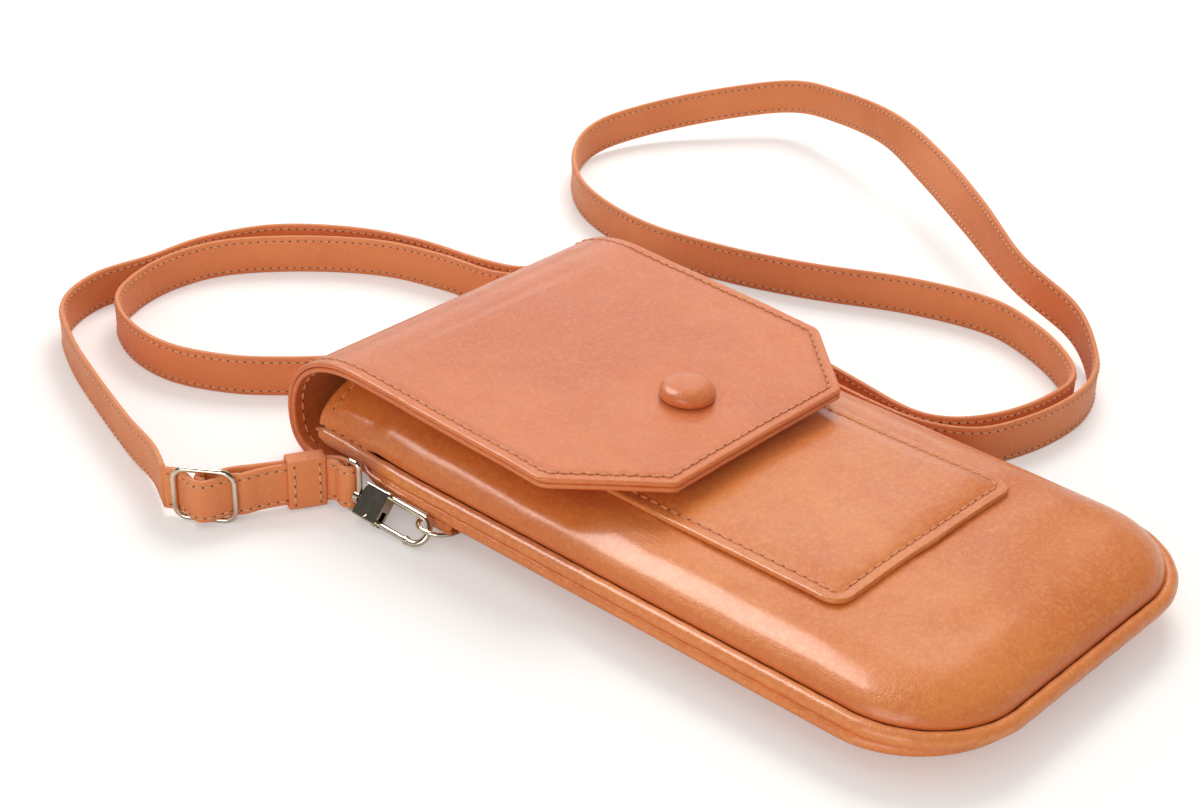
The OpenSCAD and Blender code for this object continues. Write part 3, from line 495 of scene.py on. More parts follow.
class Draft:
    """Collects points in millimetres and faces, then makes one object."""

    def __init__(self) -> None:
        """Starts empty."""
        self.points: list[Points] = []
        self.faces: list[list[int]] = []
        self.slots: list[int] = []
        self.values: dict[str, list[Points]] = {"crease_shade": [], "worn": []}
        self.count = 0

    def add(
        self, points: Points, faces: list, slot: int = 0,
        crease_shade: Points | float = 0.0, worn: Points | float = 0.0,
    ) -> None:
        """Adds points and faces that refer to them.

        Args:
            points: Rows of three values, in millimetres.
            faces: Lists of row numbers.
            slot: Material slot of the faces.
            crease_shade: How much painted shade each point gets in a groove or fold, from 0 to 1.
            worn: How worn each point is, from 0 to 1.
        """
        points = np.asarray(points, float).reshape(-1, 3)
        start = self.count
        self.points.append(points)
        for key, value in (("crease_shade", crease_shade), ("worn", worn)):
            value = np.asarray(value, float).reshape(-1)
            self.values[key].append(np.broadcast_to(value, (len(points),)).copy())
        self.faces.extend([[start + i for i in face] for face in faces])
        self.slots.extend([slot] * len(faces))
        self.count += len(points)

    @staticmethod
    def grid_faces(rows: int, cols: int, closed: bool = False) -> list:
        """Four-sided faces of a grid whose last column may join its first."""
        wide = cols if closed else cols - 1
        return [
            [i * cols + j, i * cols + (j + 1) % cols, (i + 1) * cols + (j + 1) % cols, (i + 1) * cols + j]
            for i in range(rows - 1)
            for j in range(wide)
        ]

    def slab(
        self, outer: Points, inner: Points, bulge: float, steps: int = 3,
        crease_shade: Points | None = None, worn: Points | None = None,
    ) -> None:
        """A closed sheet between two grids, with a rounded rim.

        Args:
            outer: Grid of points, rows by columns by three.
            inner: The matching grid on the other face.
            bulge: How far the rim stands out, in millimetres.
            steps: Rings of points round the rim.
            crease_shade: Grid of painted shade values of the outer face, for its grooves and folds.
            worn: Grid of wear values of the outer face.
        """
        rows, cols = outer.shape[:2]
        n = rows * cols
        loop = [(0, j) for j in range(cols)] + [(i, cols - 1) for i in range(1, rows)]
        loop += [(rows - 1, j) for j in range(cols - 2, -1, -1)] + [(i, 0) for i in range(rows - 2, 0, -1)]
        top = np.array([outer[at] for at in loop])
        under = np.array([inner[at] for at in loop])
        near = np.array([outer[min(max(a, 1), rows - 2), min(max(b, 1), cols - 2)] for a, b in loop])
        half = (top - under) / 2
        axis = unit(half)
        out = top - near
        out = unit(out - axis * np.sum(out * axis, axis=1, keepdims=True))
        rings = []
        for k in range(1, steps + 1):
            angle = math.pi / 2 - math.pi * k / (steps + 1)
            rings.append((top + under) / 2 + half * math.sin(angle) + out * bulge * math.cos(angle))
        points = np.vstack([outer.reshape(-1, 3), inner.reshape(-1, 3)] + rings)
        faces = self.grid_faces(rows, cols)
        faces += [[f + n for f in reversed(face)] for face in self.grid_faces(rows, cols)]
        m = len(loop)
        flat = [a * cols + b for a, b in loop]
        rim = [[2 * n + k * m + q for q in range(m)] for k in range(steps)]
        levels = [flat, *rim, [f + n for f in flat]]
        for upper, lower in zip(levels, levels[1:]):
            faces += [[upper[q], lower[q], lower[(q + 1) % m], upper[(q + 1) % m]] for q in range(m)]
        rim_wear = 0.25
        fold = np.zeros(n) if crease_shade is None else crease_shade.reshape(-1)
        wear = np.zeros(n) if worn is None else worn.reshape(-1)
        self.add(
            points, faces, crease_shade=np.concatenate([fold, np.zeros(n + m * steps)]),
            worn=np.concatenate([wear, np.zeros(n), np.full(m * steps, rim_wear)]),
        )

    def sweep(self, rings: Points, looped: bool = False, worn: Points | None = None) -> None:
        """A tube through closed rings of points, with flat ends or joined end to end.

        Args:
            rings: Points, rings by places round a ring by three.
            looped: Whether the last ring joins the first.
            worn: Wear values of the points.
        """
        rows, cols = rings.shape[:2]
        faces = self.grid_faces(rows, cols, closed=True)
        if looped:
            last = (rows - 1) * cols
            faces += [[last + j, last + (j + 1) % cols, (j + 1) % cols, j] for j in range(cols)]
        else:
            faces += [list(range(cols))[::-1], list(range((rows - 1) * cols, rows * cols))]
        self.add(rings, faces, worn=0.0 if worn is None else worn)

    def build(self, name: str, materials: list[bpy.types.Material]) -> bpy.types.Object:
        """Makes the object.

        Args:
            name: Name of the piece.
            materials: Materials of its slots.

        Returns:
            The new object, with its place in its mesh.
        """
        mesh = bpy.data.meshes.new(name)
        mesh.from_pydata((np.vstack(self.points) * MM).tolist(), [], self.faces)
        for key, parts in self.values.items():
            layer = mesh.attributes.new(key, "FLOAT", "POINT")
            layer.data.foreach_set("value", np.concatenate(parts).astype(np.float32))
        for material in materials:
            mesh.materials.append(material)
        mesh.polygons.foreach_set("material_index", self.slots)
        bm = bmesh.new()
        bm.from_mesh(mesh)
        bmesh.ops.recalc_face_normals(bm, faces=bm.faces)
        bm.to_mesh(mesh)
        bm.free()
        mesh.polygons.foreach_set("use_smooth", [True] * len(mesh.polygons))
        mesh.update()
        piece = bpy.data.objects.new(name, mesh)
        bpy.context.scene.collection.objects.link(piece)
        return piece


@dataclass
class Stitching:
    """Rows of stitches, each a short arched length of thread between two needle holes.

    Args:
        pitch: Distance between needle holes, in millimetres.
        thick: Thread radius, in millimetres.
        share: Share of the pitch that a stitch covers.
        sides: Points round the thread.
        hole_l: Half length of the dark disc painted at each needle hole as its shade.
        hole_w: Half width of that painted disc.
    """

    pitch: float = 2.6
    thick: float = 0.26
    share: float = 0.74
    sides: int = 6
    hole_l: float = 0.34
    hole_w: float = 0.2
    draft: Draft = field(default_factory=Draft)

    def row(self, line: Points, normals: Points) -> None:
        """Lays one row of stitches.

        Args:
            line: Dense points on the surface.
            normals: The surface's direction at each point.
        """
        both = resample(np.hstack([line, normals]), self.pitch / 8)
        run = run_of(both)
        places, facing = both[:, :3], both[:, 3:]
        count = max(1, int(run[-1] / self.pitch))
        centres = (np.arange(count) + 0.5) * run[-1] / count
        us = np.array([-1.0, -0.8, -0.4, 0.0, 0.4, 0.8, 1.0])
        widths = np.array([0.3, 0.75, 1.0, 1.0, 1.0, 0.75, 0.3])
        angles = np.arange(self.sides) * 2 * math.pi / self.sides
        last = (len(us) - 1) * self.sides
        ring_faces = Draft.grid_faces(len(us), self.sides, closed=True)
        ring_faces += [list(range(self.sides))[::-1], list(range(last, last + self.sides))]
        reach = self.pitch * self.share / 2
        lift = (1 - us ** 2) * self.thick * 0.55 - self.thick * 0.25
        high = lift[:, None] + np.sin(angles)[None] * (widths * self.thick)[:, None]
        wide = np.cos(angles)[None] * (widths * self.thick * 1.15)[:, None]
        for centre in centres:
            at = np.clip(centre + us * reach, 0, run[-1])
            p = at_run(at, run, places)
            up = unit(at_run(at, run, facing))
            side = unit(np.cross(unit(p[-1] - p[0]), up))
            ring = p[:, None, :] + up[:, None, :] * high[..., None] + side[:, None, :] * wide[..., None]
            self.draft.add(ring, ring_faces)
        corners, step = 8, 0.3
        turn = np.arange(corners) * math.pi / 4
        hole_faces = [list(range(corners))] + [[k, (k + 1) % corners, corners] for k in range(corners)]
        for centre in np.arange(count + 1) * run[-1] / count:
            p = at_run(centre, run, places)
            up = unit(at_run(centre, run, facing))
            ahead = at_run(min(centre + step, run[-1]), run, places)
            behind = at_run(max(centre - step, 0), run, places)
            along = unit(ahead - behind)
            side = unit(np.cross(along, up))
            # Painted shade: a small dark disc lies on the surface at each needle hole.
            disc = p + up * 0.035 + np.outer(np.cos(turn), along) * self.hole_l
            disc = disc + np.outer(np.sin(turn), side) * self.hole_w
            self.draft.add(np.vstack([disc, p - up * 0.1]), hole_faces, slot=1)

    def build(self, name: str, finishes: Finishes, thread: str = "thread") -> bpy.types.Object:
        """Makes the stitches one piece of the named thread, with the dark discs painted as shade in its
        needle holes.
        """
        return self.draft.build(name, [finishes.get(thread), finishes.get("edge_holes")])


@dataclass
class PouchShape:
    """The closed pouch's surfaces, in millimetres, from the same sizes as the solids.

    Args:
        seam_w: Width between the seam grooves.
        body_l: Length from the bottom seam to the mouth.
        corner_r: Radius of the bottom corners.
        seam_z: Height of the front panel's edge.
        front_rise: Rise of the front panel from its edge.
        front_round: Distance over which it rises.
        front_crown: Further rise in its middle.
        mouth_lift: Further rise toward the mouth.
        leather_t: Thickness of the panels.
        lining_t: Thickness of the linings.
        lining_gap: Gap between a panel and its lining.
        belly_out: How far the back panel reaches outside the seam.
        belly_z: Height of the back panel's edge.
        belly_flat: Half width of its flat middle.
        welt_r: Radius of the solid welt.
        welt_out: Distance of the welt's middle outside the seam.
        welt_z: Height of the welt's middle.
        welt_stop: Distance from the mouth at which the two panels start to come together.
        closing_l: Length over which they come together.
        narrowing: Share of the width that is lost at the mouth.
        narrowing_l: Distance from the mouth at which the body starts to narrow.
        pocket_w: Width of the card pocket.
        pocket_l: Length of the card pocket.
        pocket_up: Distance of its lower edge from the bottom.
        pocket_r: Radius of its lower corners.
        pocket_slack: How far it stands off the panel.
        flap_w: Width of the flap.
        flap_l: Length of the flap in front of the mouth.
        flap_front_w: Width of its front edge.
        flap_clip: Length of its clipped corners.
        flap_t: Thickness of each of its two layers.
        flap_gap: Gap between them.
        flap_front_z: Height of its face at the front edge.
        flap_rear_z: Height of its face at the fold.
        flap_crown: Further rise in its middle.
        fold_reach: How far the fold reaches past the mouth.
        flap_back_l: Length of the flap under the body.
        snap_back: Distance of the snap behind the front edge.
        seat_gap: Gap between pieces that lie on one another.
        fold_mid_z: Height of the fold's rearmost line.
    """

    seam_w: float = 90.0
    body_l: float = 166.0
    corner_r: float = 21.3
    seam_z: float = 10.4
    front_rise: float = 6.0
    front_round: float = 12.0
    front_crown: float = 1.4
    mouth_lift: float = 4.0
    leather_t: float = 1.3
    lining_t: float = 0.5
    lining_gap: float = 0.15
    belly_out: float = 3.1
    belly_z: float = 6.4
    belly_flat: float = 27.0
    welt_r: float = 1.8
    welt_out: float = 1.2
    welt_z: float = 8.95
    welt_stop: float = 19.5
    closing_l: float = 5.0
    narrowing: float = 0.036
    narrowing_l: float = 34.0
    pocket_w: float = 59.0
    pocket_l: float = 79.7
    pocket_up: float = 35.8
    pocket_r: float = 4.0
    pocket_slack: float = 0.7
    flap_w: float = 88.8
    flap_l: float = 87.1
    flap_front_w: float = 53.2
    flap_clip: float = 19.6
    flap_t: float = 1.15
    flap_gap: float = 0.1
    flap_front_z: float = 24.7
    flap_rear_z: float = 27.7
    flap_crown: float = 0.6
    fold_reach: float = 9.1
    flap_back_l: float = 32.0
    snap_back: float = 19.9
    seat_gap: float = 0.1
    fold_mid_z: float = 11.0

    def __post_init__(self) -> None:
        """Works out the places along the pouch."""
        closed = self.welt_out + self.welt_r + self.body_l + self.fold_reach
        self.bottom_y = self.welt_out + self.welt_r - closed / 2
        self.mouth_y = self.bottom_y + self.body_l
        self.fold_y = self.mouth_y + self.fold_reach
        self.half_w = self.seam_w / 2
        self.flap_half = self.flap_w / 2
        self.flap_front_y = self.mouth_y - self.flap_l
        self.snap_y = self.flap_front_y + self.snap_back
        self.flap_stack = 2 * self.flap_t + self.flap_gap
        self.welt_end_y = self.mouth_y - self.welt_stop
        self.sewn_z = self.seam_z - self.front_round * 0.08
        self.pocket_y = self.bottom_y + self.pocket_up
        self.fold_start_y = self.mouth_y - self.flap_stack * 6
        self.fold_end_y = self.mouth_y - self.flap_stack
        self.flap_back_y = self.mouth_y - self.flap_back_l
        self.back_r = self.corner_r * 1.1
        self.back_start_y = self.bottom_y + self.corner_r * 0.05
        rear, top, reach = self.flap_rear_z, self.fold_start_y, self.fold_y
        self.fold_upper = np.array([
            [top, rear], [mix(top, reach, 0.65), rear + self.flap_t / 2],
            [reach, mix(rear, self.fold_mid_z, 0.4)], [reach, self.fold_mid_z],
        ])
        self.fold_lower = np.array([
            [reach, self.fold_mid_z], [reach, self.fold_mid_z * 0.32],
            [mix(self.fold_end_y, reach, 0.75), 0.0], [self.fold_end_y, 0.0],
        ])

    def closing(self, y: Points) -> Points:
        """How far the two panels have come together, toward the mouth."""
        return smooth((y - self.welt_end_y) / self.closing_l)

    def outline_half(self, y: Points, inset: float) -> Points:
        """Half width of the front panel."""
        r = self.corner_r - inset
        up = np.minimum(r, np.maximum(0, y - self.bottom_y - inset))
        return self.half_w - inset - r + np.sqrt(np.maximum(0, r * r - (r - up) ** 2))

    def edge_depth(self, x: Points, y: Points, inset: float) -> Points:
        """Distance inside the seam line."""
        cx, cy = self.half_w - self.corner_r, self.bottom_y + self.corner_r
        corner = self.corner_r - inset - np.hypot(np.abs(x) - cx, y - cy)
        side = np.minimum(self.half_w - inset - np.abs(x), y - self.bottom_y - inset)
        return np.where((np.abs(x) > cx) & (y < cy), corner, side)

    def front_z(self, x: Points, y: Points, inset: float = 0.0, drop: float = 0.0) -> Points:
        """Height of the front panel."""
        inside = np.maximum(0, self.edge_depth(x, y, inset))
        across = 1 - (x / self.half_w) ** 2
        edge_z = mix(self.seam_z, self.sewn_z, self.closing(y))
        bottom_in = smooth((y - self.bottom_y) / (2 * self.corner_r))
        lift_from = self.mouth_y - self.body_l * 0.44
        mouth_in = smooth((y - lift_from) / (self.mouth_y - lift_from))
        rise = (self.front_rise - drop) * round_profile(inside / (self.front_round - inset))
        return edge_z + rise + across * (self.front_crown * bottom_in + self.mouth_lift * mouth_in)

    def front_skin(self, x: Points, y: Points) -> Points:
        """Height of the front panel's face, with its soft unevenness."""
        inside = smooth(self.edge_depth(x, y, 0.0) / 9.0)
        waves = 0.16 * undulation(x, y, 42, 3) + 0.07 * undulation(x, y, 15, 8)
        return self.front_z(x, y) + inside * waves

    def drawn_in(self, y: Points) -> Points:
        """Share of its width that the body keeps where it narrows toward the mouth."""
        return 1 - self.narrowing * smooth((y - self.mouth_y + self.narrowing_l) / 30.0)

    def back_half(self, y: Points) -> Points:
        """Half width of the back panel along its sides."""
        return self.half_w + self.belly_out * mix(1, 0.45, self.closing(y))

    def back_outline_half(self, y: Points, inset: float) -> Points:
        """Half width of the back panel."""
        r = self.back_r - inset
        up = np.minimum(r, np.maximum(0, y - self.back_start_y - inset))
        return self.back_half(y) - inset - r + np.sqrt(np.maximum(0, r * r - (r - up) ** 2))

    def back_depth(self, x: Points, y: Points, inset: float) -> Points:
        """Distance inside the back panel's outline."""
        cx, cy = self.half_w + self.belly_out - self.back_r, self.back_start_y + self.back_r
        corner = self.back_r - inset - np.hypot(np.abs(x) - cx, y - cy)
        side = np.minimum(self.back_half(y) - inset - np.abs(x), y - self.back_start_y - inset)
        return np.where((np.abs(x) > cx) & (y < cy), corner, side)

    def back_z(self, x: Points, y: Points, inset: float = 0.0) -> Points:
        """Height of the back panel: flat in the middle, rounded up to the seam."""
        side = self.half_w + self.belly_out - self.belly_flat
        rise_l = side * mix(0.5, 1, smooth((y - self.back_start_y) / (2 * self.back_r)))
        across = 1 - np.clip(self.back_depth(x, y, inset) / (rise_l - inset), 0, 1)
        profile = 1 - np.maximum(0, 1 - across ** 1.3) ** (1 / 1.3)
        ramp = self.flap_back_l / 2
        bed = (self.flap_stack + self.seat_gap) * smooth((y - self.flap_back_y + ramp) / ramp) + inset
        rim = mix(self.belly_z, self.sewn_z - self.leather_t * 0.5, self.closing(y)) + inset * 0.2
        return mix(bed, rim - self.seat_gap, profile)

    def pocket_half_at(self, y: Points) -> Points:
        """Half width of the card pocket."""
        up = np.minimum(self.pocket_r, y - self.pocket_y)
        r = self.pocket_r
        return self.pocket_w / 2 - r + np.sqrt(np.maximum(0, r * r - (r - up) ** 2))

    def pocket_z(self, x: Points, y: Points, up: float) -> Points:
        """Height of the card pocket at a distance above its inner face."""
        run = 2 * self.pocket_r
        slack = self.pocket_slack * smooth((self.pocket_w / 2 - np.abs(x)) / run)
        slack = slack * smooth((y - self.pocket_y) / run)
        return self.front_skin(x, y) + self.seat_gap + slack + up

    def flap_half_at(self, y: Points) -> Points:
        """Half width of the flap."""
        front = mix(self.flap_front_w / 2, self.flap_half, (y - self.flap_front_y) / self.flap_clip)
        return soft_min(np.full_like(front, self.flap_half), front, 1.2)

    def flap_z(self, x: Points, y: Points) -> Points:
        """Height of the flap's face, with its soft unevenness."""
        share = (y - self.flap_front_y) / (self.fold_start_y - self.flap_front_y)
        crown = self.flap_crown * (1 - (x / self.flap_half) ** 2)
        crown = crown * smooth((self.mouth_y - y) / self.flap_clip)
        calm = smooth((self.fold_start_y - y) / 15)
        rough = 0.16 * undulation(x, y, 38, 21) + 0.05 * undulation(x, y, 13, 5)
        dent_r, dent_w, dent_depth = 7.5, 3.2, 0.25
        dent = -dent_depth * hump(np.hypot(x, y - self.snap_y), dent_r, dent_w)
        return mix(self.flap_front_z, self.flap_rear_z, share) + crown + calm * rough + dent

    def fold_at(self, t: Points, depth: float) -> tuple[Points, Points]:
        """Place and outward direction of the fold in the side view, at t from 0 to 2."""
        place, slope = [], []
        for v in np.atleast_1d(t):
            p, u = (self.fold_upper, v) if v < 1 else (self.fold_lower, v - 1)
            w = 1 - u
            place.append(w ** 3 * p[0] + 3 * w * w * u * p[1] + 3 * w * u * u * p[2] + u ** 3 * p[3])
            slope.append(3 * w * w * (p[1] - p[0]) + 6 * w * u * (p[2] - p[1]) + 3 * u * u * (p[3] - p[2]))
        slope = unit(np.array(slope))
        normal = np.column_stack([-slope[:, 1], slope[:, 0]])
        return np.array(place) - normal * depth, normal


def put_on_body(piece: bpy.types.Object, body: str, slot: Slot, *nodes: str) -> None:
    """Puts a finished piece on its body in place of the solids it stands for."""
    if nodes:
        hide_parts(*nodes)
    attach(piece, body)
    LOG.info("%s made, %d faces", piece.name, len(piece.data.polygons))


@dataclass
class Studio:
    """Camera, floor, background and soft light.

    Args:
        lens: Focal length for a 36 mm wide sensor.
        place: Camera position, in millimetres.
        right: Direction to the right of the picture.
        up: Direction to its top.
        forward: Direction of view.
    """

    lens: float = 66.09
    place: tuple[float, float, float] = (-313.4, -240.1, 252.2)
    right: tuple[float, float, float] = (0.67345402, -0.73875497, 0.0264723)
    up: tuple[float, float, float] = (0.34997919, 0.35017728, 0.86884431)
    forward: tuple[float, float, float] = (0.65113305, 0.57586194, -0.49437716)

    def camera(self) -> None:
        """Sets up the camera at the photograph's angle."""
        data = bpy.data.cameras.new("studio_camera")
        data.lens = self.lens
        data.sensor_width = 36.0
        data.sensor_fit = "HORIZONTAL"
        data.clip_start, data.clip_end = 0.01, 20.0
        piece = bpy.data.objects.new("studio_camera", data)
        columns = [Vector(self.right), Vector(self.up), -Vector(self.forward)]
        turn = Matrix([[columns[c][r] for c in range(3)] for r in range(3)]).to_4x4()
        piece.matrix_world = Matrix.Translation(Vector(self.place) * MM) @ turn
        bpy.context.scene.collection.objects.link(piece)
        bpy.context.scene.camera = piece
        LOG.info("camera set")

    def lamp(
        self, name: str, place: tuple, aim: tuple, size: float, power: float, colour: tuple,
        lights: bool = True, shines: bool = True,
    ) -> None:
        """Adds one soft square lamp.

        Args:
            name: Its name.
            place: Where it hangs, in metres.
            aim: The point it faces, in metres.
            size: Length of its sides, in metres.
            power: Its power, in watts.
            colour: Its colour.
            lights: Whether it lights the pieces.
            shines: Whether the pieces reflect it.
        """
        data = bpy.data.lights.new(name, "AREA")
        data.shape = "SQUARE"
        data.size = size
        data.energy = power
        data.color = colour
        piece = bpy.data.objects.new(name, data)
        piece.location = place
        piece.rotation_euler = (Vector(aim) - Vector(place)).to_track_quat("-Z", "Y").to_euler()
        piece.visible_diffuse = lights
        piece.visible_glossy = shines
        bpy.context.scene.collection.objects.link(piece)

    def light(self) -> None:
        """Hangs the lamps and sets the surroundings."""
        flap, middle = (0, 0.02, 0), (0, 0, 0.01)
        self.lamp("key_window", (0.58, 0.34, 0.82), flap, 0.5, 5.4, (1.0, 0.985, 0.965), shines=False)
        self.lamp("key_card", (-0.12, 0.63, 0.88), flap, 0.6, 11.0, (1.0, 0.92, 0.90), lights=False)
        self.lamp("back_card", (0.72, 0.68, 0.54), middle, 0.85, 0.45, (1.0, 0.93, 0.92), lights=False)
        self.lamp("back_window", (0.70, 0.66, 0.52), middle, 0.7, 1.3, (1.0, 0.965, 0.95))
        self.lamp("side_card", (-0.85, -0.25, 0.24), middle, 0.6, 2.8, (1.0, 0.985, 0.97))
        self.surroundings()
        LOG.info("light set")

    @staticmethod
    def surroundings() -> None:
        """Makes the world: white to the camera, a soft room to the light, dark overhead to reflections."""
        world = bpy.data.worlds.new("studio_world")
        bpy.context.scene.world = world
        world.use_nodes = True
        tree = world.node_tree
        tree.nodes.clear()
        output = tree.nodes.new("ShaderNodeOutputWorld")
        seen = tree.nodes.new("ShaderNodeBackground")
        lit = tree.nodes.new("ShaderNodeBackground")
        switch = tree.nodes.new("ShaderNodeMixShader")
        path = tree.nodes.new("ShaderNodeLightPath")
        set_inputs(seen, {"Color": (1, 1, 1, 1)})
        set_inputs(lit, {"Strength": 0.58})
        shine = tree.nodes.new("ShaderNodeBackground")
        glossy = tree.nodes.new("ShaderNodeMixShader")
        level = tree.nodes.new("ShaderNodeMapRange")
        set_inputs(level, {"From Min": 0.16, "From Max": 0.42, "To Min": 0.75, "To Max": 0.09})
        level.interpolation_type = "SMOOTHSTEP"
        place = tree.nodes.new("ShaderNodeTexCoord")
        apart = tree.nodes.new("ShaderNodeSeparateXYZ")
        span = tree.nodes.new("ShaderNodeMapRange")
        set_inputs(span, {"From Min": -0.05, "From Max": 0.75})
        shade = tree.nodes.new("ShaderNodeMix")
        shade.data_type = "RGBA"
        shade.inputs[6].default_value = (0.38, 0.335, 0.29, 1)
        shade.inputs[7].default_value = (1.0, 1.0, 1.0, 1)
        wire(
            tree,
            (place.outputs["Generated"], apart.inputs[0]),
            (apart.outputs["Z"], span.inputs["Value"]), (span.outputs[0], shade.inputs[0]),
            (shade.outputs[2], lit.inputs["Color"]),
            (apart.outputs["Z"], level.inputs["Value"]), (level.outputs[0], shine.inputs["Strength"]),
            (path.outputs["Is Glossy Ray"], glossy.inputs[0]),
            (lit.outputs[0], glossy.inputs[1]), (shine.outputs[0], glossy.inputs[2]),
            (path.outputs["Is Camera Ray"], switch.inputs[0]),
            (glossy.outputs[0], switch.inputs[1]), (seen.outputs[0], switch.inputs[2]),
            (switch.outputs[0], output.inputs[0]),
        )

    def floor(self) -> None:
        """Lays the pale floor, which shows white and keeps the shadow."""
        mesh = bpy.data.meshes.new("studio_floor")
        reach = 6.0
        corners = [(-reach, -reach, 0), (reach, -reach, 0), (reach, reach, 0), (-reach, reach, 0)]
        mesh.from_pydata(corners, [], [[0, 1, 2, 3]])
        floor = bpy.data.objects.new("studio_floor", mesh)
        bpy.context.scene.collection.objects.link(floor)
        material = bpy.data.materials.new("studio_paper")
        material.use_nodes = True
        tree = material.node_tree
        tree.nodes.clear()
        output = tree.nodes.new("ShaderNodeOutputMaterial")
        paper = tree.nodes.new("ShaderNodeBsdfDiffuse")
        set_inputs(paper, {"Color": (0.82, 0.80, 0.775, 1)})
        glow = tree.nodes.new("ShaderNodeEmission")
        set_inputs(glow, {"Color": (1, 0.995, 0.985, 1)})
        both = tree.nodes.new("ShaderNodeAddShader")
        path = tree.nodes.new("ShaderNodeLightPath")
        scale = tree.nodes.new("ShaderNodeMath")
        scale.operation = "MULTIPLY"
        glow_strength = 0.3
        scale.inputs[1].default_value = glow_strength
        wire(
            tree,
            (path.outputs["Is Camera Ray"], scale.inputs[0]), (scale.outputs[0], glow.inputs["Strength"]),
            (paper.outputs[0], both.inputs[0]), (glow.outputs[0], both.inputs[1]),
            (both.outputs[0], output.inputs[0]),
        )
        mesh.materials.append(material)
        LOG.info("floor laid")


@dataclass
class Strap:
    """The crossbody strap: the free strap, its adjusting end with keeper and slider, and its sewn far end.

    Args:
        finishes: The pouch's materials.
        width: Width of the strap.
        thick: Thickness of the strap.
        low: Height of the strap's lower edge where it meets the metal.
        stitch_in: Distance of the stitches from an edge.
        stitch_pitch: Distance between their needle holes.
        eye_r: Radius of the eye's wire.
        slider_r: Radius of the slider's wire.
        slider_l: Length of the slider.
        gap: Gap between the strap and what it touches.
        slider_at: Place of the slider's middle.
        slider_turn: Direction of the slider in degrees.
        keeper_turn: Direction of the keeper in degrees.
        keeper_end: Where the two runs leave the keeper's stretch on the hook's side.
        keeper_lead: How far the runs stay straight past that place.
        keeper_back: Distance of the keeper from that place.
        keeper_free: Length of the straight stretch that the keeper slides on.
        keeper_l: Length of the keeper along the strap.
        keeper_t: Thickness of the keeper's leather.
        hook_yaw: Direction of the near hook in degrees.
        hook_at: Place of the hooks, from the middle to a side and along the pouch.
        eye_bar_at: Distance of an eye's far bar from its hook's place.
        far_join: Where the free strap meets its sewn end.
    """

    finishes: Finishes
    width: float = 10.0
    thick: float = 1.25
    low: float = 1.5
    stitch_in: float = 1.25
    stitch_pitch: float = 2.0
    eye_r: float = 0.65
    slider_r: float = 0.6
    slider_l: float = 14.2
    gap: float = 0.1
    slider_at: tuple[float, float] = (-76.5, 78.7)
    slider_turn: float = -55.3
    keeper_turn: float = -29.5
    keeper_end: tuple[float, float] = (-53.4, 65.2)
    keeper_lead: float = 0.9
    keeper_back: float = 1.2
    keeper_free: float = 14.0
    keeper_l: float = 8.2
    keeper_t: float = 0.8
    hook_yaw: float = 3.0
    hook_at: tuple[float, float] = (51.278, 38.1)
    eye_bar_at: float = 22.6
    far_join: tuple[float, float] = (54.2, 86.0)

    @staticmethod
    def route() -> list[tuple[float, float, float, float]]:
        """The free strap's route: place, height above the table, lean to the left in degrees."""
        return [
            (-75.5, 97, 1, 0), (-71, 112, 0, 0), (-64.5, 132, 0, 0), (-57, 152, 0, 0), (-48, 167, 0, 0),
            (-34, 173.5, 0, 0), (-18, 172, 0, 0), (-2, 171.3, 0, 0), (15, 164.5, 0, 0), (28, 150, 0, 0),
            (35.5, 133, 0, 0), (39, 113, 0, 0), (43, 102.5, 0, 0), (51, 99, 0, 0), (58.5, 93.5, 0, 0),
            (61.5, 82, 0, 0), (61.5, 60, 0, 0), (60, 35, 0, 0), (56, 10, 0, 0), (53.3, -8, 0, 0),
            (57, -17.5, 0, 0), (67, -24, 0, 0), (80, -27, 0, 0), (92.6, -26.2, 0, 0), (101.5, -18.4, 0, 0),
            (109, -5, 0, 0), (112.5, 10, 0, 0), (107.5, 30, 0, 0), (96, 53.5, 0, 0), (88.5, 75, 0, 0),
            (85, 97, 0, 0), (88.5, 118, 0, 0), (97, 134, 0, 0), (112, 147.5, 0, 0), (127, 152, 1, 0),
            (145, 147.5, 2.5, 0), (163, 136.5, 5, 0), (178, 123, 7, 0), (176.5, 106, 9.5, 0),
            (168.5, 82, 12, 10), (155.6, 58, 12, 35), (139.4, 34, 11, 25), (124, 10, 8, 5),
            (117.5, -11, 4, 0), (107, -23.5, 0, 0), (94.5, -29.8, 0, 0), (81, -31, 0, 0),
            (67, -28.5, 0, 0), (56.4, -23.4, 0, 0), (50.6, -12, 0, 0), (50.4, 5, 0, 0), (52.5, 22, 0, 0),
            (56.2, 36, 0, 0), (57.9, 50, 0, 0), (58.2, 70, 0, 0), (57.2, 86, 0, 0), (50, 94.8, 0, 0),
            (41, 99, 0, 0), (36, 107, 0, 0), (34, 121, 0, 0), (28.5, 138, 0, 0), (16, 154, 0, 0),
            (0.5, 166, 0, 0), (-14, 169, 0, 0), (-27, 166.5, 0, 0), (-37.5, 160, 0, 0), (-43.5, 147, 0, 0),
            (-44, 132, 0, 0), (-38, 118, 0, 0), (-29.5, 108, 0, 0), (-21, 100.5, 0, 0), (-10, 96, 0, -30),
            (8, 94.3, 0, -55), (27, 94.2, 0, -55), (41, 93, 0, -30), (49, 90.8, 0.5, -5),
        ]

    @staticmethod
    def along(angle: float, d: float, n: float) -> Points:
        """A step d along a direction in degrees and n to its left."""
        a = math.radians(angle)
        return d * np.array([math.cos(a), math.sin(a)]) + n * np.array([-math.sin(a), math.cos(a)])

    @staticmethod
    def cut(points: list) -> list:
        """Cuts each corner of a line once."""
        out = [points[0]]
        for a, b in zip(points, points[1:]):
            out += [mix(a, b, 0.25), mix(a, b, 0.75)]
        return out + [points[-1]]

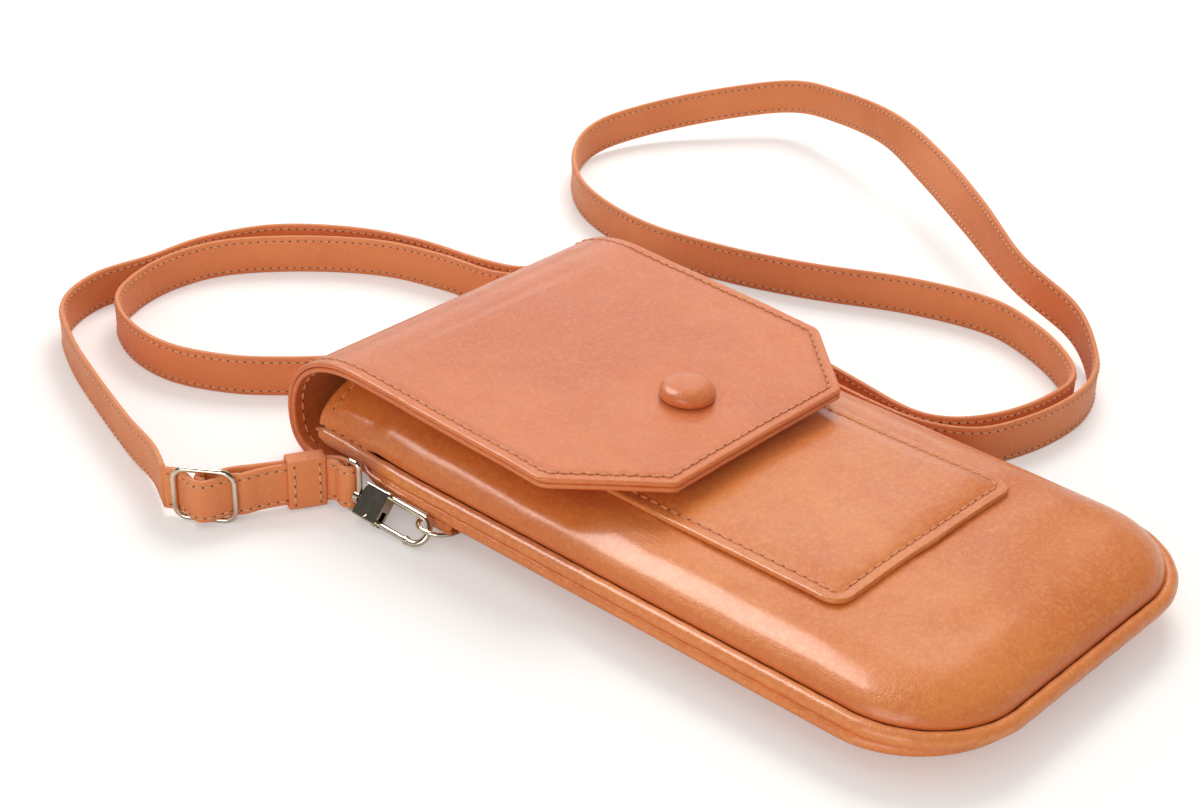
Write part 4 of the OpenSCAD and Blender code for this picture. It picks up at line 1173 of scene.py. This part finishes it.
    @staticmethod
    def arc(centre: Points, r: float, start: float, end: float, n: int) -> list:
        """Points on an arc, its angles in degrees."""
        return [
            centre + r * np.array([math.cos(math.radians(a)), math.sin(math.radians(a))])
            for a in np.linspace(start, end, n + 1)
        ]

    @property
    def eye_bar(self) -> Points:
        """Place of the near eye's far bar."""
        yaw = math.radians(self.hook_yaw)
        x, y = self.hook_at
        return np.array([-x - self.eye_bar_at * math.sin(yaw), y + self.eye_bar_at * math.cos(yaw)])

    @property
    def start(self) -> Points:
        """Where the free strap leaves the slider."""
        step = self.slider_l / 2 - self.slider_r
        inside = self.slider_r + self.thick / 2 + 3 * self.gap
        return np.array(self.slider_at) + self.along(self.slider_turn, -step - 2 * self.thick, inside)

    def near_line(self) -> Points:
        """Plan of the adjusting end, from the slider round the eye and back to the slider's bar."""
        at, turn = np.array(self.slider_at), self.slider_turn
        end, kt = np.array(self.keeper_end), self.keeper_turn
        t = self.thick
        bar_step = self.slider_l / 2 - self.slider_r
        inside = self.slider_r + t / 2 + 3 * self.gap
        outside = self.slider_r + 1.5 * t + 3 * self.gap
        wrap = self.eye_r + self.gap + t / 2
        bar_wrap = self.slider_r + self.gap + t / 2
        layer = t + self.gap
        eye = self.eye_bar
        first = [
            self.start, at + self.along(turn, -bar_step + t, inside), at + self.along(turn, -t, -outside),
            at + self.along(turn, t, -outside), at + self.along(turn, bar_step - t, inside),
            at + self.along(turn, bar_step + t, inside), end - self.along(kt, self.keeper_free, 0),
            end + self.along(kt, self.keeper_lead, 0),
            eye + np.array([-wrap, 2 * wrap / 3]),
        ]
        second = [
            eye + np.array([wrap, wrap / 3]), end + self.along(kt, self.keeper_lead, layer),
            end - self.along(kt, self.keeper_free, -layer),
            at + self.along(turn, self.slider_l * 0.315, self.slider_l * 0.27),
            at + self.along(turn, 2 * t, bar_wrap + t / 2), at + self.along(turn, t / 2, bar_wrap),
        ]
        return np.array(
            self.cut(self.cut(first)) + self.arc(eye, wrap, 180, 345, 12) + self.cut(self.cut(second))
            + self.arc(at, bar_wrap, 90 + turn, 300 + turn, 14)
        )

    def far_line(self) -> Points:
        """Plan of the sewn end, from the join round the far eye."""
        bar = self.eye_bar * np.array([-1, 1])
        wrap = self.eye_r + self.gap + self.thick / 2
        layer = self.thick + self.gap
        first = [
            np.array(self.far_join), np.array([54.1, 76]), np.array([54.0, 68]),
            bar + np.array([wrap, wrap / 3]),
        ]
        last = [bar + np.array([-wrap, wrap / 3]), np.array([54 - layer, 68]), np.array([54.05 - layer, 80])]
        return np.array(self.cut(first) + self.arc(bar, wrap, 0, -180, 12) + self.cut(last))

    def frames(self, line: Points) -> tuple[Points, Points, Points]:
        """Centre, edge direction and face direction along a route of place, height and lean."""
        ahead = heading(line)
        left = unit(np.column_stack([-ahead[:, 1], ahead[:, 0], np.zeros(len(line))]))
        lean = np.radians(line[:, 3])[:, None]
        z = np.array([0, 0, 1.0])
        wide = left * np.sin(lean) + z * np.cos(lean)
        face = left * np.cos(lean) - z * np.sin(lean)
        rise = (self.width * np.cos(lean) + self.thick * np.abs(np.sin(lean))) / 2
        centre = np.column_stack([line[:, :2], line[:, 2] + rise[:, 0]])
        return centre, wide, face

    def section(self) -> Points:
        """Outline of the strap cut across: rounded edges with a fine line between its two layers."""
        h, t = self.width / 2, self.thick / 2
        side = [(h - 0.9, t), (h - 0.45, t * 0.92), (h - 0.12, t * 0.68), (h, t * 0.34), (h - 0.1, 0.0)]
        quarter = side + [(a, -b) for a, b in side[-2::-1]]
        return np.array(quarter + [(-a, -b) for a, b in quarter])

    def upright(self, plan: Points) -> Points:
        """A short run over a plan, upright at the height of the metal."""
        level = np.full(len(plan), self.low)
        return resample(np.column_stack([plan, level, np.zeros(len(plan))]), 0.6)

    def ribbon(
        self, name: str, node: str, line: Points, stitched: tuple[float, float]
    ) -> list[bpy.types.Object]:
        """Makes one run of strap with its stitches.

        Args:
            name: Name of the piece.
            node: The node it stands for.
            line: Rows of place, height and lean.
            stitched: Unstitched length at the start and the end.

        Returns:
            The strap piece and its stitches.
        """
        centre, wide, face = self.frames(line)
        section = self.section()
        rings = centre[:, None] + wide[:, None] * section[None, :, :1] + face[:, None] * section[None, :, 1:]
        draft = Draft()
        edge_wear = (np.abs(section[:, 0]) > self.width / 2 - 0.3) * 0.5
        draft.sweep(rings, worn=np.broadcast_to(edge_wear, rings.shape[:2]))
        piece = draft.build(name, [self.finishes.get("strap")])
        run = run_of(centre)
        keep = (run >= stitched[0]) & (run <= run[-1] - stitched[1])
        sewing = Stitching(pitch=self.stitch_pitch, thick=0.2)
        for edge in (-1, 1):
            for side in (-1, 1):
                row = centre + wide * edge * (self.width / 2 - self.stitch_in) + face * side * self.thick / 2
                sewing.row(row[keep], (face * side)[keep])
        stitches = sewing.build(name + "_stitches", self.finishes, "strap_thread")
        put_on_body(piece, "pouch", Slot.STRAP, node)
        put_on_body(stitches, "pouch", Slot.STRAP)
        return [piece, stitches]

    def keeper(self) -> list[bpy.types.Object]:
        """Makes the keeper: a leather band round both runs, sewn along both its edges."""
        inner_t = self.thick * 2 + self.gap * 5
        inner_h = self.width + 3 * self.gap
        end = np.array(self.keeper_end)
        back = self.keeper_back + self.keeper_l / 2
        middle = end - self.along(self.keeper_turn, back, -(self.thick + self.gap) / 2)
        axis = np.append(self.along(self.keeper_turn, 1, 0), 0.0)
        left = np.append(self.along(self.keeper_turn, 0, 1), 0.0)
        up = np.array([0, 0, 1.0])
        centre = np.append(middle, self.low + self.width / 2)
        loop, out = [], []
        quarter, corner_r = 8, 0.15
        for sx, sy, start in ((1, 1, 0), (-1, 1, 90), (-1, -1, 180), (1, -1, 270)):
            for k in range(quarter + 1):
                a = math.radians(start + 90 * k / quarter)
                loop.append((sx * (inner_t / 2 - corner_r), sy * (inner_h / 2 - corner_r)))
                out.append((math.cos(a), math.sin(a)))
        loop, out = np.array(loop), np.array(out)
        t, half, seam_in = self.keeper_t, self.keeper_l / 2, 1.4
        fore = [
            (half - 0.25, corner_r), (half, 0.45), (half, t - 0.1), (half - 0.3, t + 0.15),
            (half - seam_in, t + 0.08), (half - 2.2, t + 0.15),
        ]
        aft = [(-along, depth) for along, depth in fore]
        section = aft[:1] + fore + aft[:0:-1]
        rings = []
        for along, depth in section:
            edge = loop + out * depth
            rings.append(centre + axis * along + edge[:, :1] * left + edge[:, 1:] * up)
        draft = Draft()
        draft.sweep(np.array(rings), looped=True)
        band = draft.build("keeper_band", [self.finishes.get("strap")])
        sewing = Stitching(pitch=self.stitch_pitch, thick=0.22)
        z = np.linspace(-self.width / 2 + 0.4, self.width / 2 - 0.4, 20)
        for along in (-half + seam_in, half - seam_in):
            for side in (-1, 1):
                row = centre + axis * along + left * side * (inner_t / 2 + t - 0.02) + z[:, None] * up
                sewing.row(row, np.repeat((left * side)[None], len(z), axis=0))
        stitches = sewing.build("keeper_stitches", self.finishes, "strap_thread")
        put_on_body(band, "keeper", Slot.STRAP, "keeper")
        put_on_body(stitches, "keeper", Slot.STRAP)
        return [band, stitches]

    def build(self, nodes: dict) -> None:
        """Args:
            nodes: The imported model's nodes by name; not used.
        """
        points = np.array([(*self.start, self.low, 0.0)] + self.route() + [(*self.far_join, self.low, 0.0)])
        line = resample(spline(points, 10), 2.0)
        line[:, 2] = np.maximum(line[:, 2], 0.0)
        free = self.ribbon("crossbody_strap", "strap", line, (2.0, 2.0))
        near, far = self.upright(self.near_line()), self.upright(self.far_line())
        adjuster = self.ribbon("strap_adjuster_run", "strap_adjuster", near, (1.0, 6.0))
        sewn = self.ribbon("strap_sewn_end", "strap_far_end", far, (1.0, 1.0))
        band = self.keeper()


@dataclass
class Body:
    """The padded body: panels, linings, welt, card pocket and the tabs of the rings.

    Args:
        shape: The pouch's surfaces.
        finishes: Its materials.
        rows: Rows of points along a panel.
        cols: Points across a panel.
        corner_rows: Rows of them round the bottom corners.
        bulge: How far the rims of the panels stand out.
        roll_r: Radius of the back panel's rolled edge.
        roll_in: How far the roll lies inside the bottom edge.
        roll_mouth_in: How far it lies inside the sides near the mouth.
        slim: How much smaller than its solid's radius the welt's is.
        stitch_in: Distance of the stitches from the mouth and from the pocket's edges.
    """

    shape: PouchShape
    finishes: Finishes
    rows: int = 150
    cols: int = 96
    corner_rows: int = 36
    bulge: float = 0.5
    roll_r: float = 1.5
    roll_in: float = 2.6
    roll_mouth_in: float = 1.9
    slim: float = 0.15
    stitch_in: float = 2.2

    def side_rows(self, start: float, corner: float, end: float) -> Points:
        """Rows along the pouch, close together round the bottom corners."""
        curve = start + corner * (1 - np.cos(np.linspace(0, math.pi / 2, self.corner_rows)))
        return np.concatenate([curve, np.linspace(start + corner, end, self.rows - self.corner_rows)[1:]])

    def front_grid(self, inset: float, drop: float) -> Points:
        """Grid of the front panel or its lining."""
        s = self.shape
        y = self.side_rows(s.bottom_y + inset, s.corner_r - inset, s.mouth_y)
        u = np.sin(np.linspace(-math.pi / 2, math.pi / 2, self.cols))
        yy = widened(y, self.cols)
        xx = s.outline_half(yy, inset) * u[None]
        zz = s.front_z(xx, yy, inset, drop) + (s.front_skin(xx, yy) - s.front_z(xx, yy))
        return np.dstack([xx * s.drawn_in(yy), yy, zz])

    def back_grid(self, inset: float) -> Points:
        """Grid of the back panel or its lining."""
        s = self.shape
        y = self.side_rows(s.back_start_y + inset, s.back_r - inset, s.mouth_y)
        u = np.sin(np.linspace(-math.pi / 2, math.pi / 2, self.cols))
        yy = widened(y, self.cols)
        xx = s.back_outline_half(yy, inset) * u[None]
        return np.dstack([xx * s.drawn_in(yy), yy, s.back_z(xx, yy, inset)])

    def panels(self) -> None:
        """Makes the two leather panels and their linings."""
        s, f = self.shape, self.finishes
        draft = Draft()
        outer = self.front_grid(0.0, 0.0)
        edge = s.edge_depth(outer[..., 0], outer[..., 1], 0.0)
        mouth_l, groove_w = 3.4, 1.4
        mouth = np.clip((outer[..., 1] - s.mouth_y + mouth_l) / mouth_l, 0, 1)
        # Painted shade along the seam groove at the front panel's edge.
        crease_shade = 0.5 * np.clip(1 - edge / groove_w, 0, 1)
        inner = self.front_grid(s.leather_t, s.leather_t)
        draft.slab(outer, inner, self.bulge, crease_shade=crease_shade, worn=mouth * 0.2)
        front = draft.build("front_panel_leather", [f.get("body")])
        put_on_body(front, "pouch", Slot.LEATHER, "front_panel")
        draft = Draft()
        draft.slab(self.back_grid(0.0), self.back_grid(s.leather_t), self.bulge)
        out = s.belly_out - self.roll_r
        line = self.seam_path(out, s.belly_z - 0.1, self.roll_mouth_in, s.belly_z + 0.3)
        line[:, 1] += self.roll_in * (1 - smooth((line[:, 1] - s.bottom_y) / (1.4 * s.corner_r)))
        draft.sweep(self.tube(line, np.full(len(line), self.roll_r)))
        back = draft.build("back_panel_leather", [f.get("body")])
        put_on_body(back, "pouch", Slot.LEATHER, "back_panel")
        near = s.leather_t + s.lining_gap
        deep = near + s.lining_t
        for name, top, under, node in (
            ("front_lining_cloth", self.front_grid(near, near), self.front_grid(deep, deep), "front_lining"),
            ("back_lining_cloth", self.back_grid(deep), self.back_grid(near), "back_lining"),
        ):
            draft = Draft()
            draft.slab(top[::2, ::2], under[::2, ::2], 0.1, steps=1)
            put_on_body(draft.build(name, [f.get("lining")]), "pouch", Slot.LINING, node)

    def stitches(self) -> None:
        """Sews the mouth edge and the sides near the mouth."""
        s = self.shape
        sewing = Stitching()
        x = np.linspace(-s.half_w + self.stitch_in, s.half_w - self.stitch_in, 160)
        line, normal = surface_row(s.front_skin, x, np.full_like(x, s.mouth_y - 2.4))
        line[:, 0] *= s.drawn_in(line[:, 1])
        sewing.row(line, normal)
        y = np.linspace(s.welt_end_y + 3.0, s.mouth_y - 1.5, 30)
        for side in (-1, 1):
            line = np.column_stack([side * s.half_w * s.drawn_in(y), y, np.full_like(y, s.sewn_z + 0.25)])
            sewing.row(line, np.repeat(unit(np.array([[side * 0.6, 0, 0.8]])), len(y), axis=0))
        put_on_body(sewing.build("body_stitches", self.finishes), "pouch", Slot.LEATHER)

    def seam_path(self, out: float, height: float, inward: float, mouth_z: float) -> Points:
        """Line round the pouch beside its seam, drawn in where the panels meet near the mouth.

        Args:
            out: Distance outside the seam.
            height: Height of the line.
            inward: Distance it moves in near the mouth.
            mouth_z: Its height there.

        Returns:
            Points about 1 mm apart, from the left end of the mouth round the bottom to the right end.
        """
        s = self.shape
        half, bend = s.half_w + out, s.corner_r + out
        cx, cy = s.half_w - s.corner_r, s.bottom_y + s.corner_r
        turn = np.linspace(0, math.pi / 2, 40)[1:]
        end_y = s.mouth_y - 0.9
        line = [(-half, y) for y in np.linspace(end_y, cy, 120)]
        line += [(-cx - bend * math.cos(a), cy - bend * math.sin(a)) for a in turn]
        line += [(x, cy - bend) for x in np.linspace(-cx, cx, 40)[1:]]
        line += [(cx + bend * math.sin(a), cy - bend * math.cos(a)) for a in turn]
        line += [(half, y) for y in np.linspace(cy, end_y, 120)[1:]]
        line = resample(np.column_stack([np.array(line), np.zeros(len(line))]), 1.0)
        near = smooth((line[:, 1] - s.welt_end_y + 8.0) / 14.0)
        line[:, 0] = line[:, 0] * s.drawn_in(line[:, 1]) - np.sign(line[:, 0]) * inward * near
        line[:, 2] = mix(height, mouth_z, near)
        return line

    @staticmethod
    def tube(line: Points, radius: Points) -> Points:
        """Rings of a round roll along a line, its two ends rounded off."""
        ahead = unit(heading(line))
        side = unit(np.column_stack([ahead[:, 1], -ahead[:, 0], np.zeros(len(line))]))
        r = radius * np.sqrt(1 - (1 - np.clip((from_ends(len(line)) + 0.25) / 1.8, 0, 1)) ** 2)
        across, upward = np.cos(TUBE_ANGLES)[None, :, None], np.sin(TUBE_ANGLES)[None, :, None]
        return line[:, None] + r[:, None, None] * (across * side[:, None] + upward * np.array([0, 0, 1.0]))

    def welt(self) -> None:
        """Makes the covered piping in the seam."""
        s = self.shape
        line = self.seam_path(s.welt_out, s.welt_z, 0.5, s.welt_z - 0.75)
        full = smooth((from_ends(len(line)) - 14) / 12)
        ripple = 1 + 0.02 * np.sin(np.arange(len(line)) * 0.9)
        rings = self.tube(line, (s.welt_r - self.slim) * mix(0.9, 1.0, full) * ripple)
        # The welt is paler on its upper half, palest at its top.
        upper_half_pale = np.clip(np.sin(TUBE_ANGLES), 0, 1) * 0.3
        draft = Draft()
        draft.sweep(rings, worn=np.broadcast_to(upper_half_pale, rings.shape[:2]))
        piece = draft.build("welt_leather", [self.finishes.get("body")])
        put_on_body(piece, "pouch", Slot.LEATHER, "welt")

    def pocket(self) -> None:
        """Makes the card pocket with its turned edges and stitches."""
        s = self.shape
        arc = s.pocket_y + s.pocket_r * (1 - np.cos(np.linspace(0, math.pi / 2, 10)))
        y = np.concatenate([arc, np.linspace(s.pocket_y + s.pocket_r, s.pocket_y + s.pocket_l, 80)[1:]])
        u = np.linspace(-1, 1, 70)
        u = np.sign(u) * (1 - (1 - np.abs(u)) ** 1.25)
        yy = widened(y, len(u))
        xx = s.pocket_half_at(yy) * u[None]
        inside = np.minimum(s.pocket_half_at(yy) - np.abs(xx), yy - s.pocket_y)
        groove_depth = 0.22
        groove = -groove_depth * hump(inside, self.stitch_in, 0.7)
        outer = np.dstack([xx, yy, s.pocket_z(xx, yy, s.leather_t) + groove])
        inner = np.dstack([xx, yy, s.pocket_z(xx, yy, 0.0)])
        draft = Draft()
        # Painted shade in the groove of the pocket's stitch line.
        crease_shade = 0.5 * hump(inside, self.stitch_in, 0.6)
        draft.slab(outer, inner, 0.6, steps=4, crease_shade=crease_shade, worn=edge_wear(inside))
        piece = draft.build("card_pocket_leather", [self.finishes.get("body")])
        put_on_body(piece, "pouch", Slot.LEATHER, "card_pocket")
        half, low, r = s.pocket_w / 2 - self.stitch_in, s.pocket_y + self.stitch_in, s.pocket_r - 1.5
        top = s.pocket_y + s.pocket_l - 1.5
        turn = np.linspace(0, math.pi / 2, 8)
        plan = [(-half, v) for v in np.linspace(top, low + r, 60)]
        plan += [(-half + r * (1 - math.cos(a)), low + r * (1 - math.sin(a))) for a in turn]
        plan += [(v, low) for v in np.linspace(-half + r, half - r, 50)]
        plan += [(half - r * (1 - math.sin(a)), low + r * (1 - math.cos(a))) for a in turn]
        plan += [(half, v) for v in np.linspace(low + r, top, 60)]
        plan = np.array(plan)
        sewing = Stitching()
        sewing.row(*surface_row(lambda a, b: s.pocket_z(a, b, s.leather_t) - 0.2, plan[:, 0], plan[:, 1]))
        x = np.linspace(-half, half, 60)
        sewing.row(*surface_row(lambda a, b: s.pocket_z(a, b, s.leather_t), x, np.full_like(x, top - 1.0)))
        put_on_body(sewing.build("card_pocket_stitches", self.finishes), "pouch", Slot.LEATHER)

    def tabs(self) -> None:
        """Makes the two leather tabs that hold the rings."""
        ring_r, tab_t, bar_x, bar_z = 0.5, 0.75, 46.9, 3.9
        tab_y, width, slope = 38.4, 7.0, math.radians(18)
        r = ring_r + 0.05 + tab_t / 2
        path = [(9.8, -0.41), (6, -0.41), (3, -0.45), (1.2, -0.74)]
        path += [(-r * math.cos(a), r * math.sin(a)) for a in np.radians(np.linspace(-88, 88, 15))]
        path += [(1.3, 0.66), (3, 0.36), (6, 0.34), (9.8, 0.34)]
        path = spline(np.array(path), 3)
        step = unit(heading(path))
        normal = np.column_stack([step[:, 1], -step[:, 0]])
        y = np.linspace(tab_y - width / 2, tab_y + width / 2, 9)
        for side, node in ((-1, "tab_left"), (1, "tab_right")):
            grids = []
            for depth in (tab_t / 2 - 0.02, -tab_t / 2 + 0.02):
                local = path + normal * depth
                x = -local[:, 0] * math.cos(slope) + local[:, 1] * math.sin(slope)
                z = -local[:, 0] * math.sin(slope) - local[:, 1] * math.cos(slope)
                across, high = widened(side * (bar_x + x), len(y)), widened(bar_z + z, len(y))
                grids.append(np.dstack([across, np.repeat(y[None], len(x), axis=0), high]))
            draft = Draft()
            draft.slab(grids[0], grids[1], 0.15)
            piece = draft.build(node + "_leather", [self.finishes.get("body")])
            put_on_body(piece, "pouch", Slot.LEATHER, node)

    def build(self) -> None:
        """Makes every piece of the body."""
        self.panels()
        self.welt()
        self.pocket()
        self.stitches()
        self.tabs()


def surface_row(
    height: Callable[[Points, Points], Points], x: Points, y: Points
) -> tuple[Points, Points]:
    """Points on a height surface along a plan line, with the surface's directions.

    Args:
        height: Function from places to heights.
        x: Places across.
        y: Places along.

    Returns:
        The points and the unit vectors that point out of the surface.
    """
    e = 0.4
    dx = (height(x + e, y) - height(x - e, y)) / (2 * e)
    dy = (height(x, y + e) - height(x, y - e)) / (2 * e)
    normal = unit(np.column_stack([-dx, -dy, np.ones_like(dx)]))
    return np.column_stack([x, y, height(x, y)]), normal


@dataclass
class Flap:
    """The flap: one leather layer and its lining from the front edge through the fold to the back.

    Args:
        shape: The pouch's surfaces.
        finishes: Its materials.
        cols: Points across the flap.
        bands: Rows at the front edge, along the clipped corners and from there to the fold.
        stitch_in: Distance of the stitches from the edge.
        button_r: Radius of the button.
        button_h: Height of the button.
        button_slope: Slope of the flap under the button.
    """

    shape: PouchShape
    finishes: Finishes
    cols: int = 90
    bands: tuple[int, int, int] = (6, 26, 44)
    stitch_in: float = 2.0
    button_r: float = 6.0
    button_h: float = 3.4
    button_slope: float = 0.041

    def grid(self, depth: float) -> Points:
        """Grid of one face of the flap, at a depth below its outer face."""
        s = self.shape
        u = np.linspace(-1, 1, self.cols)
        u = np.sign(u) * (1 - (1 - np.abs(u)) ** 1.3)
        edge, clipped, plain = self.bands
        y = np.concatenate([
            np.linspace(s.flap_front_y, s.flap_front_y + 4, edge)[:-1],
            np.linspace(s.flap_front_y + 4, s.flap_front_y + s.flap_clip + 3, clipped)[:-1],
            np.linspace(s.flap_front_y + s.flap_clip + 3, s.fold_start_y, plain),
        ])
        yy = widened(y, self.cols)
        xx = s.flap_half_at(yy) * u[None]
        top = np.dstack([xx, yy, s.flap_z(xx, yy) - depth])
        place, _ = s.fold_at(np.linspace(0, 2, 61)[1:], depth)
        fx = np.repeat(s.flap_half * u[None], len(place), axis=0)
        fold = np.dstack([fx, widened(place[:, 0], self.cols), widened(place[:, 1], self.cols)])
        y = np.linspace(s.fold_end_y, s.flap_back_y, 24)[1:]
        yy = widened(y, self.cols)
        xx = np.repeat(s.flap_half * u[None], len(y), axis=0)
        lift = np.maximum(0, s.back_z(xx, yy) - s.seat_gap - s.flap_stack)
        back = np.dstack([xx, yy, lift * smooth((s.fold_end_y - yy) / (s.flap_back_l / 2)) + depth])
        return np.vstack([top, fold, back])

    def sheet(
        self, name: str, near: float, far: float, relief: float, fold_shade: float, *nodes: str
    ) -> bpy.types.Object:
        """Makes one layer of the flap between two depths.

        Args:
            name: Name of the piece.
            near: Depth of its first face below the flap's face.
            far: Depth of its second face.
            relief: Depth of the groove that its stitches lie in.
            fold_shade: How strongly painted shade darkens it inside the fold, from 0 to 1.
            nodes: The nodes it stands for.

        Returns:
            The piece, not yet on a body.
        """
        s = self.shape
        outer, inner = self.grid(near), self.grid(far)
        front = outer[..., 1] - s.flap_front_y
        clip = math.atan2(s.flap_half - s.flap_front_w / 2, s.flap_clip)
        slant = (s.flap_half_at(outer[..., 1]) - np.abs(outer[..., 0])) * math.cos(clip)
        straight = s.flap_half - np.abs(outer[..., 0])
        top_rows = sum(self.bands) - 2
        top = np.arange(outer.shape[0])[:, None] < top_rows
        inside = np.where(top, np.minimum(np.minimum(front, slant), straight), straight)
        groove = hump(inside, self.stitch_in, 0.75)
        outer[:top_rows, :, 2] -= (relief * groove)[:top_rows]
        # Painted shade: both layers darken along the stitch groove, and the lining darkens inside the fold
        # and under the body.
        deep = smooth((inside - 2.6) / 3.0) * (1 - top) * fold_shade
        crease_shade = np.maximum(0.5 * groove, deep)
        draft = Draft()
        draft.slab(outer, inner, 0.5, steps=4, crease_shade=crease_shade, worn=edge_wear(inside))
        piece = draft.build(name, [self.finishes.get("flap")])
        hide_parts(*nodes)
        return piece

    def edge_plan(self, inset: float) -> Points:
        """Plan of the line inside the flap's clipped front edge, from one fold end to the other."""
        s = self.shape
        slope = unit(np.array([s.flap_half - s.flap_front_w / 2, s.flap_clip]))
        across = np.array([slope[1], -slope[0]])
        a = np.array([s.flap_front_w / 2, s.flap_front_y]) - across * inset
        x_side, y_front = s.flap_half - inset, s.flap_front_y + inset
        low = np.array([a[0] + (y_front - a[1]) * slope[0] / slope[1], y_front])
        high = np.array([x_side, a[1] + (x_side - a[0]) * slope[1] / slope[0]])
        right = np.array([[x_side, s.fold_start_y], high, low])
        left = right[::-1] * np.array([-1, 1])
        corners = np.vstack([right, left])
        return resample(np.column_stack([corners, np.zeros(len(corners))]), 0.5)[:, :2]

    def rows(self, sewing: Stitching, depth: float, outward: int) -> None:
        """Sews round the front and through the fold on one face of the flap.

        Args:
            sewing: Takes the stitches.
            depth: Depth of the face below the flap's own face.
            outward: 1 for the outer face, -1 for the inner one.
        """
        s = self.shape
        plan = self.edge_plan(self.stitch_in)
        sunk = 0.06 if outward > 0 else 0.0
        line, normal = surface_row(lambda x, y: s.flap_z(x, y) - depth - sunk, plan[:, 0], plan[:, 1])
        sewing.row(line, normal * outward)
        place, facing = s.fold_at(np.linspace(0.02, 1.72, 140), depth)
        for side in (-1, 1):
            x = np.full(len(place), side * (s.flap_half - self.stitch_in))
            line = np.column_stack([x, place])
            normal = np.column_stack([np.zeros(len(place)), facing * outward])
            sewing.row(line, normal)

    def build(self) -> None:
        """Makes both layers, the stitches and the covered button."""
        s = self.shape
        leather = self.sheet(
            "flap_leather", 0.0, s.flap_t, 0.16, 0.0, "flap_outer", "fold_outer", "flap_back"
        )
        lining = self.sheet(
            "flap_inner_leather", s.flap_t + s.flap_gap, s.flap_stack, 0.0, 1.0,
            "flap_lining", "fold_lining", "flap_back_lining",
        )
        sewing = Stitching()
        self.rows(sewing, 0.0, 1)
        self.rows(sewing, s.flap_stack, -1)
        stitches = sewing.build("flap_stitches", self.finishes)
        for piece in (leather, lining, stitches):
            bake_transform(piece)
            LOG.info("%s bends with the flap", piece.name)
        self.button()

    def button(self) -> None:
        """Makes the leather covered button."""
        s = self.shape
        r, h = self.button_r, self.button_h
        turn = np.radians(np.linspace(4, 86, 22))
        profile = [(r - 0.9, 0.05), (r - 0.35, 0.0), (r, 0.35)]
        profile += [(r * math.cos(a) ** 0.6, h * (0.3 + 0.7 * math.sin(a))) for a in turn]
        profile = np.array(profile + [(0.02, h)])
        angles = np.linspace(0, 2 * math.pi, 72, endpoint=False)
        base = s.flap_z(np.zeros(1), np.array([s.snap_y]))[0] + s.seat_gap
        rings = np.dstack([
            profile[:, :1] * np.cos(angles)[None], s.snap_y + profile[:, :1] * np.sin(angles)[None],
            base + profile[:, 1:] + profile[:, :1] * np.sin(angles)[None] * self.button_slope,
        ])
        draft = Draft()
        draft.sweep(rings, worn=widened((profile[:, 1] / h) ** 3 * 0.25, len(angles)))
        piece = draft.build("button_leather", [self.finishes.get("flap")])
        put_on_body(piece, "flap", Slot.LEATHER, "button_cover")


@dataclass
class Hardware:
    """The metal pieces, which keep their solids and get their plating here."""

    finishes: Finishes

    def dress(self, nodes: dict) -> None:
        """Plates every metal node.

        Args:
            nodes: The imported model's nodes by name.
        """
        for name, node in nodes.items():
            if node.hide_render:
                continue
            finish = "steel" if name.startswith("gate_spring") else "metal"
            node.data.materials.clear()
            node.data.materials.append(self.finishes.get(finish))
            LOG.info("%s plated", name)


def main() -> None:
    """Builds the picture of the pouch in order."""
    logging.basicConfig(level=logging.INFO, format="%(message)s")
    scene = bpy.context.scene
    scene.view_settings.view_transform = "Standard"
    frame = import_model()
    studio = Studio()
    studio.camera()
    finishes = Finishes()
    Strap(finishes).build(frame["nodes"])
    studio.floor()
    studio.light()
    shape = PouchShape()
    Body(shape, finishes).build()
    Flap(shape, finishes).build()
    Hardware(finishes).dress(frame["nodes"])
    bpy.context.view_layer.update()


if __name__ == "__main__":
    main()
